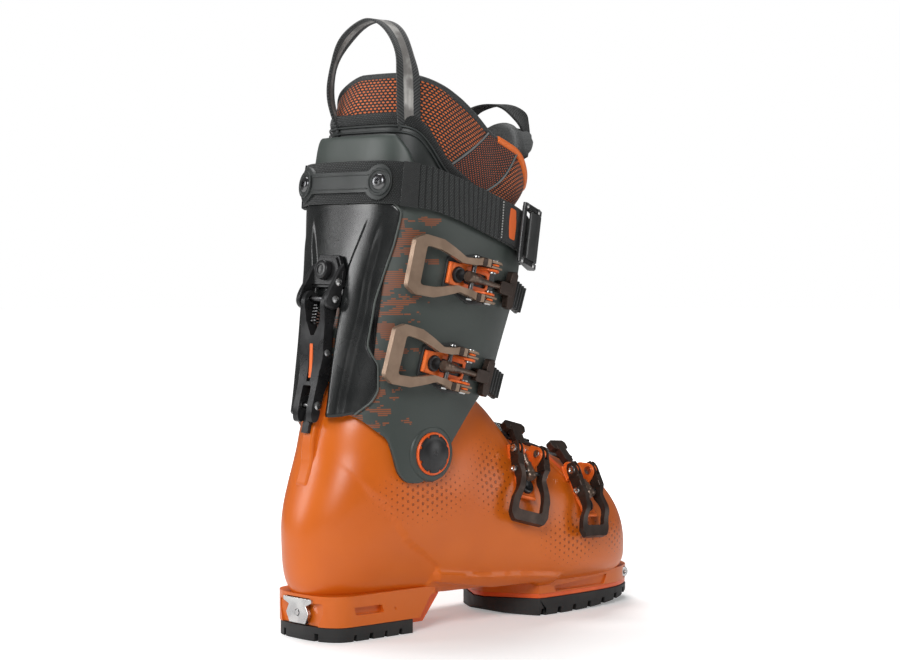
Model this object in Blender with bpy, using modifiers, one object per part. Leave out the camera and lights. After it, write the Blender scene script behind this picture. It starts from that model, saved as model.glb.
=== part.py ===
"""Alpine touring boot, right foot, size 26.5 (305 mm boot sole length).

Frame: +X runs from heel to toe, +Z is up, -Y is the lateral side, where the buckle levers are.
The origin is on the ground under the middle of the heel tread. Numbers below are millimetres,
and MM turns them into Blender's metres.
"""

import math

import bmesh
import bpy
import numpy as np
from mathutils import Matrix, Vector

MM = 0.001

# Sole
SOLE_LENGTH = 305.0
HEEL_BACK = -40.0
TOE_TIP = HEEL_BACK + SOLE_LENGTH
HEEL_LEDGE_Z = 30.0
TOE_LEDGE_Z = 26.0
LUG_HALF_WIDTH = 34.5
TREAD_HEIGHT = 9.5
TOE_INSERT_X, TOE_INSERT_Z = TOE_TIP - 15.0, 20.8
HEEL_SCREW_Z = 18.0

# Walls and gaps
SHELL_WALL = 4.5
SHELL_FLOOR = 28.0
LINER_GAP = 1.5
LINER_WALL = 6.5
LINER_FLOOR = 34.4
CUFF_WALL = 3.75
SPINE_THICKNESS = 2.2
STRAP_THICKNESS = 1.8
GAP = 0.4

# Ankle pivot, and the arcs about it that keep the walk mechanism clear of the shell
PIVOT_X, PIVOT_Z = 36.0, 124.0
PIVOT_SHANK_R = 6.0
RIB_ARC = 69.0
ANCHOR_ARC = 71.9
WALK_PIN = (-20.5, 229.0)
CATCH_PIN = (-30.5, 157.5)
NOTCH_HALF_WIDTH = 14.5
STUD_Z = 247.5

# Buckles, in their own axes: +x towards the ladder, +z out of the boot, lever pivot at x 0
PIVOT_HEIGHT = 9.5
ARM_OUTSIDE = 14.4
ARM_THICKNESS = 3.0
TRUNNION_X, TRUNNION_Z = -15.0, 7.2
BASE_MIDDLE_X = -14.0
HANDLE_DROP = -11.5

# Lower shell sections, toe to collar. Each runs from a low point to a high point:
# low x, low z, high x, high z, lateral half width, medial half width,
# share of the length at which it is widest, low roundness, high roundness
SHELL_STATIONS = [
    (254.0, 36.0, 254.0, 50.0, 6.0, 6.0, 0.45, 2.2, 2.2),
    (251.0, 27.0, 251.0, 62.0, 18.0, 17.0, 0.40, 2.4, 2.2),
    (244.0, 22.0, 244.0, 77.0, 30.0, 28.0, 0.38, 2.8, 2.2),
    (228.0, 20.0, 228.0, 94.0, 41.0, 38.0, 0.36, 3.2, 2.1),
    (200.0, 20.0, 200.0, 107.0, 49.0, 46.0, 0.36, 3.4, 2.1),
    (168.0, 20.0, 168.0, 120.0, 52.0, 49.5, 0.36, 3.4, 2.1),
    (135.0, 20.0, 140.0, 129.0, 50.0, 49.0, 0.38, 3.2, 2.1),
    (95.0, 20.0, 128.0, 140.0, 47.5, 46.5, 0.42, 3.0, 2.2),
    (50.0, 20.0, 121.5, 149.0, 45.5, 45.5, 0.45, 2.8, 2.2),
    (10.0, 20.0, 117.0, 153.5, 45.2, 45.2, 0.50, 2.6, 2.2),
    (-22.0, 20.0, 113.0, 157.0, 45.2, 45.2, 0.52, 2.4, 2.2),
    (-40.0, 33.0, 110.0, 159.5, 45.2, 45.2, 0.52, 2.3, 2.2),
    (-44.5, 56.0, 107.0, 161.5, 45.2, 45.2, 0.52, 2.2, 2.2),
    (-44.0, 78.0, 104.5, 163.0, 45.2, 45.2, 0.52, 2.2, 2.2),
    (-37.5, 102.0, 102.0, 164.5, 45.2, 45.2, 0.52, 2.2, 2.2),
    (-31.0, 122.0, 99.5, 166.0, 44.8, 44.8, 0.52, 2.2, 2.2),
    (-26.5, 141.0, 97.0, 167.0, 43.5, 43.5, 0.52, 2.2, 2.2),
    (-17.5, 162.0, 93.0, 169.0, 41.0, 41.0, 0.52, 2.3, 2.2),
]

# Cuff sections: height, rear x, front x, lateral and medial half width, rear roundness
CUFF_LEVELS = [
    (96.0, -39.0, 104.0, 50.6, 50.6, 2.3),
    (124.0, -32.5, 110.0, 50.6, 50.6, 2.3),
    (150.0, -26.5, 117.0, 51.6, 51.2, 2.4),
    (180.0, -20.7, 125.0, 54.0, 53.0, 2.5),
    (210.0, -15.0, 135.0, 57.0, 55.0, 2.6),
    (240.0, -9.2, 144.0, 60.0, 58.0, 2.8),
    (270.0, -3.4, 147.5, 61.0, 59.5, 3.2),
    (300.0, 1.5, 148.5, 61.0, 59.5, 3.8),
    (340.0, 7.5, 150.0, 58.5, 57.5, 3.8),
    (400.0, 15.0, 152.0, 52.0, 51.0, 3.0),
]
SHELL_COLUMNS = 20

CUFF_FRONT_ROUND = 2.2
CUFF_WIDEST = 0.45
FLAP_ENDS = (-40.0, 318.0)


# ---------------------------------------------------------------- mathematics


def natural_spline(knots, values, at):
    """Cubic spline through a value or an array of values at each knot, unbent at its ends."""
    knots = np.asarray(knots, float)
    values = np.asarray(values, float)
    count = len(knots)
    rows = values.reshape(count, -1)
    step = np.diff(knots)
    slope = np.diff(rows, axis=0) / step[:, None]
    system = np.identity(count)
    right = np.zeros(rows.shape)
    for i in range(1, count - 1):
        system[i, i - 1 : i + 2] = step[i - 1], 2 * (step[i - 1] + step[i]), step[i]
        right[i] = 6 * (slope[i] - slope[i - 1])
    bend = np.linalg.solve(system, right)
    at = np.atleast_1d(np.asarray(at, float))
    cell = np.clip(np.searchsorted(knots, at) - 1, 0, count - 2)
    h = step[cell][:, None]
    t = (at - knots[cell])[:, None]
    found = (
        rows[cell]
        + t * (slope[cell] - h * (2 * bend[cell] + bend[cell + 1]) / 6)
        + t**2 * bend[cell] / 2
        + t**3 * (bend[cell + 1] - bend[cell]) / (6 * h)
    )
    return found.reshape(len(at), *values.shape[1:])


def along(x, points):
    """Straight-line interpolation through (x, value) points."""
    return float(np.interp(x, [p[0] for p in points], [p[1] for p in points]))


def superellipse(angle, roundness):
    c = math.cos(angle)
    s = math.sin(angle)
    return (
        math.copysign(abs(c) ** (2 / roundness), c),
        math.copysign(abs(s) ** (2 / roundness), s),
    )


def arc(centre, radius, start, end, points):
    """Points on an arc, from one angle in degrees to another."""
    turns = np.radians(np.linspace(start, end, points))
    return [(centre[0] + radius * math.cos(t), centre[1] + radius * math.sin(t)) for t in turns]


def frame_matrix(origin, first, second, third):
    axes = [Vector(v).normalized() for v in (first, second, third)]
    rows = [[axis[k] for axis in axes] + [origin[k] * MM] for k in range(3)]
    return Matrix([*rows, [0, 0, 0, 1]])


def shifted(place, x, y, z):
    return place @ Matrix.Translation((x * MM, y * MM, z * MM))


# ---------------------------------------------------------------- surfaces of the boot


def shell_section(station, inset, floor, turns):
    """One section of the lower shell, moved inwards by inset and cut flat at the floor."""
    low_x, low_z, high_x, high_z, lateral, medial, widest, low_round, high_round = station
    low = np.array([low_x, low_z])
    high = np.array([high_x, high_z])
    length = np.linalg.norm(high - low)
    up = (high - low) / length
    shrink = min(inset, 0.42 * length)
    below = widest * length - shrink
    above = (1 - widest) * length - shrink
    middle = low + up * widest * length
    loop = []
    for turn in turns:
        rising = math.cos(turn) > 0
        c, s = superellipse(turn, high_round if rising else low_round)
        side = lateral if s < 0 else medial
        place = middle + up * c * (above if rising else below)
        loop.append((place[0], s * max(side - inset, 0.5), max(place[1], floor)))
    return loop


def shell_surface(inset=0.0, floor=-99.0, extend=0.0):
    """Closed loops from the toe tip to the collar, and past it by extend."""
    turns = [math.tau * (k + 0.5) / SHELL_COLUMNS for k in range(SHELL_COLUMNS)]
    loops = [np.array(shell_section(s, inset, floor, turns)) for s in SHELL_STATIONS]
    for k, share in enumerate((1.0, 0.75, 0.5)):
        loops[k][:, 0] -= inset * share
    if extend:
        loops.append(loops[-1] + np.array([0.2 * extend, 0.0, extend]))
    return loops


def forefoot_frame(x, share, lean, side):
    """Axes on the forefoot. share 0 is the side and 1 the ridge. The first axis climbs towards
    the ridge, turned towards the toe by lean, and the last points out of the shell."""
    stations = sorted(SHELL_STATIONS[:7])
    turn = side * math.radians(90 * (1 - share))

    def point(station_x, angle):
        station = natural_spline([s[0] for s in stations], stations, station_x)[0]
        return Vector(shell_section(station, 0.0, -99.0, [angle])[0])

    spot = point(x, turn)
    climb = (point(x, turn - side * 0.02) - spot).normalized()
    forward = (point(x + 1.0, turn) - spot).normalized()
    out = climb.cross(forward) * side
    out.normalize()
    across = (climb.cross(out) * -side).normalized()
    first = climb * math.cos(lean) + across * math.sin(lean)
    return frame_matrix(spot, first, out.cross(first), out)


def cuff_point(angle, z, outset=0.0):
    """Point on the cuff. Angle 0 is the front, 90 degrees the medial side, 180 the rear."""
    heights = [level[0] for level in CUFF_LEVELS]
    sizes = [level[1:] for level in CUFF_LEVELS]
    rear, front, lateral, medial, rear_round = natural_spline(heights, sizes, z)[0]
    centre = rear + CUFF_WIDEST * (front - rear)
    ahead = math.cos(angle) > 0
    c, s = superellipse(angle, CUFF_FRONT_ROUND if ahead else rear_round)
    reach = (front - centre if ahead else centre - rear) + outset
    side = (lateral if s < 0 else medial) + outset
    return Vector((centre + c * reach, s * side, z))


def lateral_angle(x, z):
    """Angle at which the lateral side of the cuff has this x."""
    rear_end = math.pi
    front_end = math.tau
    for _ in range(30):
        middle = (rear_end + front_end) / 2
        if cuff_point(middle, z).x < x:
            rear_end = middle
        else:
            front_end = middle
    return middle


def cuff_frame(angle, z, outset, lean):
    """Axes on the cuff. The first runs forwards round the lateral side, turned down by lean,
    and the last points out."""
    spot = cuff_point(angle, z, outset)
    ahead = (cuff_point(angle + 0.01, z, outset) - spot).normalized()
    up = (cuff_point(angle, z + 1.0, outset) - spot).normalized()
    out = ahead.cross(up).normalized()
    over = out.cross(ahead)
    first = ahead * math.cos(lean) - over * math.sin(lean)
    return frame_matrix(spot, first, out.cross(first), out)


# ---------------------------------------------------------------- Blender helpers


def clear_scene():
    for obj in list(bpy.data.objects):
        bpy.data.objects.remove(obj, do_unlink=True)
    for name in ("touring_boot", "cutters"):
        bpy.context.scene.collection.children.link(bpy.data.collections.new(name))


def material(name, colour, roughness, metallic=0.0):
    made = bpy.data.materials.new(name)
    made.use_nodes = True
    shader = made.node_tree.nodes["Principled BSDF"]
    shader.inputs["Base Color"].default_value = (*colour, 1.0)
    shader.inputs["Roughness"].default_value = roughness
    shader.inputs["Metallic"].default_value = metallic
    return made


def smoothed(mesh):
    mesh.shade_smooth()
    mesh.set_sharp_from_angle(angle=math.radians(38))
    return mesh


def part(name, mesh, finish, place=None):
    obj = bpy.data.objects.new(name, mesh)
    bpy.data.collections["touring_boot"].objects.link(obj)
    if place is not None:
        obj.matrix_world = place
    mesh.materials.clear()
    mesh.materials.append(bpy.data.materials[finish])
    return obj


def combine(obj, operation, *meshes, place=None):
    """Adds a Boolean with each mesh, which lies in the part's own place unless told otherwise."""
    for mesh in meshes:
        other = bpy.data.objects.new(mesh.name, mesh)
        bpy.data.collections["cutters"].objects.link(other)
        other.matrix_world = obj.matrix_world if place is None else place
        other.hide_render = True
        other.display_type = "WIRE"
        modifier = obj.modifiers.new(mesh.name, "BOOLEAN")
        modifier.operation = operation
        modifier.object = other
    return obj


def grid_mesh(name, grid, closed=False, caps=False):
    """Surface through rows of points. Closed rows are loops, and caps fill the end rows."""
    rows = len(grid)
    columns = len(grid[0])
    work = bmesh.new()
    verts = [[work.verts.new([c * MM for c in p]) for p in row] for row in grid]
    for r in range(rows - 1):
        for c in range(columns if closed else columns - 1):
            n = (c + 1) % columns
            work.faces.new((verts[r][c], verts[r][n], verts[r + 1][n], verts[r + 1][c]))
    if caps:
        work.faces.new(verts[0])
        work.faces.new(verts[-1])
        bmesh.ops.recalc_face_normals(work, faces=work.faces)
    mesh = bpy.data.meshes.new(name)
    work.to_mesh(mesh)
    work.free()
    return smoothed(mesh)


def sheet(name, grid, thickness, finish, outwards=True, closed=False):
    """Part of even thickness on a surface. Rows go up, and columns counter-clockwise."""
    obj = part(name, grid_mesh(name, grid, closed), finish)
    solid = obj.modifiers.new("thickness", "SOLIDIFY")
    solid.thickness = thickness * MM
    solid.offset = 1.0 if outwards else -1.0
    solid.use_even_offset = True
    return obj


def prism(name, outline, low, high, plane="XY"):
    """Outline extruded along the axis that its plane leaves out."""
    lift = {"XY": (0, 1, 2), "XZ": (0, 2, 1), "YZ": (1, 2, 0)}[plane]
    work = bmesh.new()
    verts = []
    for point in outline:
        co = [0.0, 0.0, 0.0]
        for axis, value in zip(lift, (*point, low)):
            co[axis] = value * MM
        verts.append(work.verts.new(co))
    face = work.faces.new(verts)
    made = bmesh.ops.extrude_face_region(work, geom=[face])["geom"]
    move = [0.0, 0.0, 0.0]
    move[lift[2]] = (high - low) * MM
    bmesh.ops.translate(work, vec=move, verts=[v for v in made if isinstance(v, bmesh.types.BMVert)])
    bmesh.ops.recalc_face_normals(work, faces=work.faces)
    mesh = bpy.data.meshes.new(name)
    work.to_mesh(mesh)
    work.free()
    return smoothed(mesh)


def box(name, low, high):
    work = bmesh.new()
    bmesh.ops.create_cube(work, size=1.0)
    size = [(b - a) * MM for a, b in zip(low, high)]
    centre = [(a + b) / 2 * MM for a, b in zip(low, high)]
    bmesh.ops.scale(work, vec=size, verts=work.verts)
    bmesh.ops.translate(work, vec=centre, verts=work.verts)
    mesh = bpy.data.meshes.new(name)
    work.to_mesh(mesh)
    work.free()
    return mesh


def rod(name, start, end, radius, sides=12):
    work = bmesh.new()
    line = Vector(end) - Vector(start)
    bmesh.ops.create_cone(
        work, cap_ends=True, segments=sides, radius1=radius * MM, radius2=radius * MM,
        depth=line.length * MM,
    )
    turn = line.to_track_quat("Z", "Y").to_matrix().to_4x4()
    middle = (Vector(start) + Vector(end)) / 2 * MM
    bmesh.ops.transform(work, matrix=Matrix.Translation(middle) @ turn, verts=work.verts)
    mesh = bpy.data.meshes.new(name)
    work.to_mesh(mesh)
    work.free()
    return smoothed(mesh)


def turned(name, profile, finish, origin, axis, place=None, sides=16, ring=False):
    """Turned part. The profile holds (radius, height) points from its top to its foot."""
    mesh = bpy.data.meshes.new(name)
    edges = [(k, k + 1) for k in range(len(profile) - 1)]
    if ring:
        edges.append((len(profile) - 1, 0))
    mesh.from_pydata([(r * MM, 0.0, h * MM) for r, h in profile], edges, [])
    stand = Vector(axis).to_track_quat("Z", "Y").to_matrix().to_4x4()
    where = Matrix.Translation([c * MM for c in origin]) @ stand
    obj = part(name, mesh, finish, where if place is None else place @ where)
    screw = obj.modifiers.new("turn", "SCREW")
    screw.steps = sides
    screw.render_steps = sides
    screw.use_merge_vertices = True
    screw.merge_threshold = 0.00001
    return obj


# ---------------------------------------------------------------- sole


def lug_outline(back, front, half_width, rear_corner, front_corner, points=6):
    """Plan outline of a sole lug, with superelliptic ends."""
    outline = []
    for end, corner, start in ((front, front_corner, -90), (back, rear_corner, 90)):
        direction = 1 if end == front else -1
        for k in range(points):
            turn = math.radians(start + 180 * k / (points - 1))
            c, s = superellipse(turn, 2.6)
            outline.append((end + direction * (abs(c) - 1) * corner, s * half_width))
    return outline


def forefoot_outline(inset):
    """Plan outline of the forefoot sole: blunt point at the rear, and round at the toe."""
    tip = TOE_TIP - 1.5
    half = [(126, 6), (148, 40.3), (170, 41.5), (205, 40), (232, 36), (249, 28),
            (tip - 4, 18), (tip, 6)]
    side = [(max(min(x, tip - inset), 126 + inset), y - inset) for x, y in half]
    return [(x, -y) for x, y in side] + [(x, y) for x, y in reversed(side)]


def make_soles():
    heel = lug_outline(HEEL_BACK + 3, 34.5, 33.5, 20.0, 1.5)
    part("heel_sole", prism("heel_sole", heel, 0.0, TREAD_HEIGHT), "rubber")
    plate = forefoot_outline(1.0)
    part("toe_sole_plate", prism("toe_sole_plate", plate, 12.3, 15.2), "bright_orange")
    rocker = [(124, 12), (126, 4.5), (134, 1), (146, 0), (175, 0), (210, 1.2), (238, 3.8),
              (TOE_TIP - 4, 7.5), (TOE_TIP, 12)]
    toe = part("toe_sole", prism("toe_sole", rocker, -50.0, 50.0, "XZ"), "rubber")
    combine(toe, "INTERSECT", prism("toe_sole_outline", forefoot_outline(0.0), -5.0, 30.0))


def make_tech_inserts():
    half = [(15.0, 28.0), (15.0, 25.5), (9.0, 23.0), (12.0, 17.5), (8.5, 11.0)]
    outline = half + [(-y, z) for y, z in reversed(half)]
    plate = prism("heel_tech_insert", outline, HEEL_BACK - 0.6, HEEL_BACK + 2.2, "YZ")
    insert = part("heel_tech_insert", plate, "steel")
    combine(insert, "DIFFERENCE",
            rod("heel_screw_hole", (HEEL_BACK - 5, 0, HEEL_SCREW_Z), (HEEL_BACK + 5, 0, HEEL_SCREW_Z), 2.5))
    turned("heel_insert_screw", [(0, 0), (2.1, 0), (2.1, -6), (0, -6)], "steel",
           (HEEL_BACK - 0.9, 0, HEEL_SCREW_Z), (-1, 0, 0), sides=12)
    half = 25.5
    turned("toe_tech_insert",
           [(0, half), (1.8, half + 2.4), (3.6, half + 2.4), (4.0, half + 1), (4.0, -half - 1),
            (3.6, -half - 2.4), (1.8, -half - 2.4), (0, -half)], "steel",
           (TOE_INSERT_X, 0, TOE_INSERT_Z), (0, 1, 0), sides=12)


# ---------------------------------------------------------------- lower shell


def walk_rib():
    """Fin on the heel that the walk lever's fork straddles. Its back is an arc about the pivot."""
    back = arc((PIVOT_X, PIVOT_Z), RIB_ARC, 134, 184, 9)
    return prism("walk_rib", [*back, (-22.0, 118.0), (0.0, 150.0)], -8.0, 8.0, "XZ")


def make_lower_shell():
    body = grid_mesh("lower_shell", shell_surface(), closed=True, caps=True)
    shell = part("lower_shell", body, "orange")
    heel = lug_outline(HEEL_BACK, 56.0, LUG_HALF_WIDTH, 22.0, 3.0, 7)
    cavity = shell_surface(SHELL_WALL, SHELL_FLOOR, 36.0)
    combine(shell, "UNION",
            prism("heel_block", heel, TREAD_HEIGHT + GAP, HEEL_LEDGE_Z),
            prism("toe_block", forefoot_outline(0.0), 15.6, TOE_LEDGE_Z),
            walk_rib())
    combine(shell, "DIFFERENCE",
            grid_mesh("shell_cavity", cavity, closed=True, caps=True),
            prism("arch", [(34, -5), (34, 8), (50, 25), (124, 25), (124, -5)], -60, 60, "XZ"),
            rod("pivot_bore", (PIVOT_X, -70, PIVOT_Z), (PIVOT_X, 70, PIVOT_Z), PIVOT_SHANK_R + 0.4, 16),
            rod("toe_insert_bore", (TOE_INSERT_X, -60, TOE_INSERT_Z), (TOE_INSERT_X, 60, TOE_INSERT_Z), 4.4),
            box("heel_insert_seat", (HEEL_BACK - 5, -15.6, 5), (HEEL_BACK + 2.6, 15.6, 28.6)),
            rod("heel_screw_bore", (HEEL_BACK, 0, HEEL_SCREW_Z), (HEEL_BACK + 6, 0, HEEL_SCREW_Z), 2.6))


def make_boot_board():
    outer = shell_surface(SHELL_WALL + LINER_GAP, SHELL_FLOOR + GAP)
    board = part("boot_board", grid_mesh("boot_board", outer, closed=True, caps=True), "liner_dark")
    low = (HEEL_BACK, -60, SHELL_FLOOR)
    high = (212, 60, LINER_FLOOR - GAP)
    combine(board, "INTERSECT", box("boot_board_slab", low, high))


def make_liner_lower():
    outer = shell_surface(SHELL_WALL + LINER_GAP, LINER_FLOOR)
    inner = shell_surface(SHELL_WALL + LINER_GAP + LINER_WALL, LINER_FLOOR + 5, 36.0)
    liner = part("liner_lower", grid_mesh("liner_lower", outer, closed=True, caps=True), "liner_dark")
    combine(liner, "DIFFERENCE", grid_mesh("foot_cavity", inner, closed=True, caps=True))


# ---------------------------------------------------------------- cuff


def cuff_low_edge(angle):
    """Height of the cuff's lower edge, which drops to a lobe round each ankle pivot."""
    return along(cuff_point(angle, 150.0).x,
                 [(-26, 154), (-17, 150), (-5, 135), (4, 114), (20, 104.5), (40, 104.5),
                  (56, 122), (75, 152), (85, 162), (105, 182), (117, 192)])


def cuff_top_edge(angle):
    """Height of the cuff's upper edge, with the spoiler at the rear."""
    off = abs(math.degrees(angle) - 180)
    return along(off, [(0, 340), (30, 340), (44, 330), (56, 314), (90, 300), (140, 274), (220, 268)])


def flap_depth(angle):
    """The medial flap runs under the lateral one, so it lies deeper near its end."""
    share = min(max((50 - math.degrees(angle)) / 60, 0.0), 1.0)
    return -6.0 * share * share * (3 - 2 * share)


def notch(name, top, depth):
    """Cutter for the slot at the rear that leaves room for the walk mechanism."""
    half = NOTCH_HALF_WIDTH
    outline = [(-half, 90), (half, 90), (half, top - 3), (half - 3, top), (3 - half, top), (-half, top - 3)]
    return prism(name, outline, -60.0, depth, "YZ")


def make_cuff():
    angles = np.radians(np.linspace(*FLAP_ENDS, 46))
    rows = 8
    grid = [
        [cuff_point(a, cuff_low_edge(a) + (cuff_top_edge(a) - cuff_low_edge(a)) * r / (rows - 1),
                    flap_depth(a)) for a in angles]
        for r in range(rows)
    ]
    cuff = sheet("cuff", grid, CUFF_WALL, "grey", outwards=False)
    combine(cuff, "DIFFERENCE",
            rod("cuff_pivot_hole", (PIVOT_X, -70, PIVOT_Z), (PIVOT_X, 70, PIVOT_Z), PIVOT_SHANK_R + 0.6, 16),
            notch("cuff_notch", 192.0, 0.0))


SPINE_REACH = [(150, 46), (160, 52), (172, 56), (192, 54), (204, 50), (240, 50), (275, 52), (296, 54)]


def make_cuff_spine():
    """Hard insert down the rear of the cuff. SPINE_REACH gives its half width in degrees."""
    heights = [150, 160, 172, 192, 204, 240, 275, 292]
    shares = np.linspace(-1.0, 1.0, 13)
    grid = [
        [cuff_point(math.pi + t * math.radians(along(z, SPINE_REACH)), z, GAP) for t in shares]
        for z in heights
    ]
    spine = sheet("cuff_spine", grid, SPINE_THICKNESS, "black_gloss")
    combine(spine, "DIFFERENCE", notch("spine_notch", 224.0, 0.0))


def make_pivots():
    for side, name in ((-1, "lateral"), (1, "medial")):
        axis = (0, side, 0)
        turned(f"pivot_ring_{name}", [(12.8, 2.2), (14.8, 2.2), (14.8, 0), (12.8, 0)], "orange",
               (PIVOT_X, side * 51.2, PIVOT_Z), axis, sides=20, ring=True)
        turned(f"pivot_rivet_{name}",
               [(0, 13.6), (9.0, 13.6), (12.2, 12.2), (12.2, 9.6), (PIVOT_SHANK_R, 9.6),
                (PIVOT_SHANK_R, 0), (0, 0)], "grey",
               (PIVOT_X, side * 41.6, PIVOT_Z), axis, sides=20)


# ---------------------------------------------------------------- upper liner


def liner_point(angle, z):
    """Outer face of the liner inside the cuff. Above the cuff it fills out."""
    share = min(max((z - 310) / 60, 0.0), 1.0)
    return cuff_point(angle, z, -(CUFF_WALL + 7.2 - 4.0 * share * share * (3 - 2 * share)))


def liner_top_edge(angle):
    return along(cuff_point(angle, 360.0).x,
                 [(10, 384), (34, 386), (52, 378), (95, 349), (140, 312), (152, 300)])


def liner_grid(first, last, columns, low, high, rows=8):
    angles = np.radians(np.linspace(first, last, columns))
    return [
        [liner_point(a, low + (high(a) - low) * r / (rows - 1)) for a in angles]
        for r in range(rows)
    ]


def make_liner_upper():
    grid = liner_grid(34, 326, 28, 190.0, liner_top_edge)
    sheet("liner_upper", grid, 7.5, "liner_mesh", outwards=False)
    grid = liner_grid(-30, 30, 8, 200.0, lambda a: 356 - 26 * (a / math.radians(31)) ** 2)
    sheet("liner_tongue", grid, 8.0, "liner_dark", outwards=False)


def webbing_loop(name, path, across, width):
    """Strip of webbing: the path is its middle, and across the direction of its width."""
    grid = []
    for side in (-0.5, 0.5):
        grid.append([Vector(p) + Vector(a).normalized() * side * width for p, a in zip(path, across)])
    obj = sheet(name, grid, 1.6, "webbing")
    obj.modifiers["thickness"].offset = 0.0


def make_pull_loops():
    path = [(14, 39, 352), (12, 41, 366), (13, 40, 382), (17, 35, 399), (23, 22, 414), (28, 4, 421),
            (31, -13, 417), (32, -30, 404), (31, -42, 386), (28, -47, 368), (25, -49.5, 352)]
    across = [(0.8, 0.6, 0)] * 3 + [(0.9, 0.3, 0)] * 2 + [(1, 0, 0)] * 3 + [(0.9, -0.4, 0)] * 3
    webbing_loop("liner_pull_loop", path, across, 16)
    path = [(137, 31, 344), (136, 29, 354), (140, 22, 363), (148, 11, 368), (156, -3, 365),
            (160, -12, 353), (158, -15, 340), (154, -17, 328)]
    across = [(0.5, -0.8, 0)] * 2 + [(0.9, -0.5, 0)] * 3 + [(0.9, 0.3, 0.3)] * 3
    webbing_loop("tongue_pull_loop", path, across, 13)


# ---------------------------------------------------------------- power strap

STRAP_LINE = [(0, 310), (30, 305), (90, 286), (140, 270), (160, 266)]
STRAP_HALF_WIDTH = 16.0
STRAP_OUTSET = 3.0


def strap_middle(angle):
    return along(cuff_point(angle, 300.0).x, STRAP_LINE)


def strap_grid(angles, half, outset):
    return [[cuff_point(a, strap_middle(a) + side * half(a), outset) for a in angles] for side in (-1, 0, 1)]


def make_power_strap():
    angles = np.linspace(0, math.tau, 37)[:-1]
    grid = strap_grid(angles, lambda a: STRAP_HALF_WIDTH, STRAP_OUTSET)
    sheet("power_strap", grid, STRAP_THICKNESS, "webbing", closed=True)

    def yoke_half(angle):
        off = abs(math.degrees(angle) - 180)
        return along(off, [(0, 7.5), (14, 7.5), (22, 13), (32, 13), (38, 8)])

    outset = STRAP_OUTSET + STRAP_THICKNESS + GAP
    grid = strap_grid(np.radians(np.linspace(142, 218, 15)), yoke_half, outset)
    sheet("strap_yoke", grid, STRAP_THICKNESS, "grey")
    for sign, name in ((-1, "medial"), (1, "lateral")):
        angle = math.radians(180 + sign * 27)
        place = cuff_frame(angle, strap_middle(angle), outset + STRAP_THICKNESS + GAP, 0.0)
        turned(f"strap_rivet_{name}", [(0, 2.0), (3.6, 2.0), (5.2, 1.2), (5.6, 0), (0, 0)], "steel",
               (0, 0, 0), (0, 0, 1), place)


def make_cam_buckle():
    """Cam buckle that holds the strap: a frame with two side plates, and a toothed lever."""
    angle = lateral_angle(117.0, 262.0)
    outset = STRAP_OUTSET + STRAP_THICKNESS + GAP
    place = cuff_frame(angle, strap_middle(angle) - 2, outset, math.radians(14))
    frame = part("cam_frame", box("cam_frame", (-13, -20.5, 0.6), (13, -17.5, 6.6)), "black_gloss", place)
    combine(frame, "UNION",
            box("cam_frame_top", (-13, 17.5, 0.6), (13, 20.5, 6.6)),
            box("cam_frame_bar", (-13, -19, 0.6), (-9, 19, 2.4)))
    combine(frame, "DIFFERENCE", rod("cam_pin_bore", (8, -30, 4.4), (8, 30, 4.4), 1.3, 10))
    pivot = shifted(place, 8, 0, 4.4)
    lever = part("cam_lever", box("cam_lever", (-14, -16.6, -1.2), (3, 16.6, 2.6)), "black_gloss", pivot)
    combine(lever, "UNION", rod("cam_trunnion", (0, -20.0, 0), (0, 20.0, 0), 0.95, 10))


# ---------------------------------------------------------------- walk mechanism


def make_walk_bracket():
    lean = Matrix.Rotation(math.radians(10.9), 4, "Y")
    place = Matrix.Translation((-10.9 * MM, 0, STUD_Z * MM)) @ lean
    plate = [(-10, 11), (10, 11), (17, 0), (17, -11.5), (-17, -11.5), (-17, 0)]
    bracket = part("walk_bracket", prism("walk_bracket", plate, -3.0, 0.0, "YZ"), "black_gloss", place)
    x, z = WALK_PIN
    ear = [(-11.0, 252.0), (x - 4.5, z + 6.0), (x - 5.0, z), (x - 3.0, z - 4.5), (x + 3.0, z - 4.5),
           (-15.0, 229.0), (-13.2, 240.0)]
    combine(bracket, "UNION",
            prism("walk_ear_lateral", ear, -16.8, -13.2, "XZ"),
            prism("walk_ear_medial", ear, 13.2, 16.8, "XZ"), place=Matrix.Identity(4))
    combine(bracket, "DIFFERENCE",
            rod("walk_pin_bore", (x, -25, z), (x, 25, z), 2.3),
            rod("walk_stud_bore", (-30, 0, STUD_Z), (0, 0, STUD_Z), 2.9), place=Matrix.Identity(4))
    turned("walk_stud", [(0, 6.8), (5.0, 6.8), (5.4, 6.0), (5.4, 3.5), (2.1, 3.5), (2.1, 0), (0, 0)],
           "black_gloss", (0.2, 0, 0), (-1, 0, 0), place, sides=14)


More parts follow.
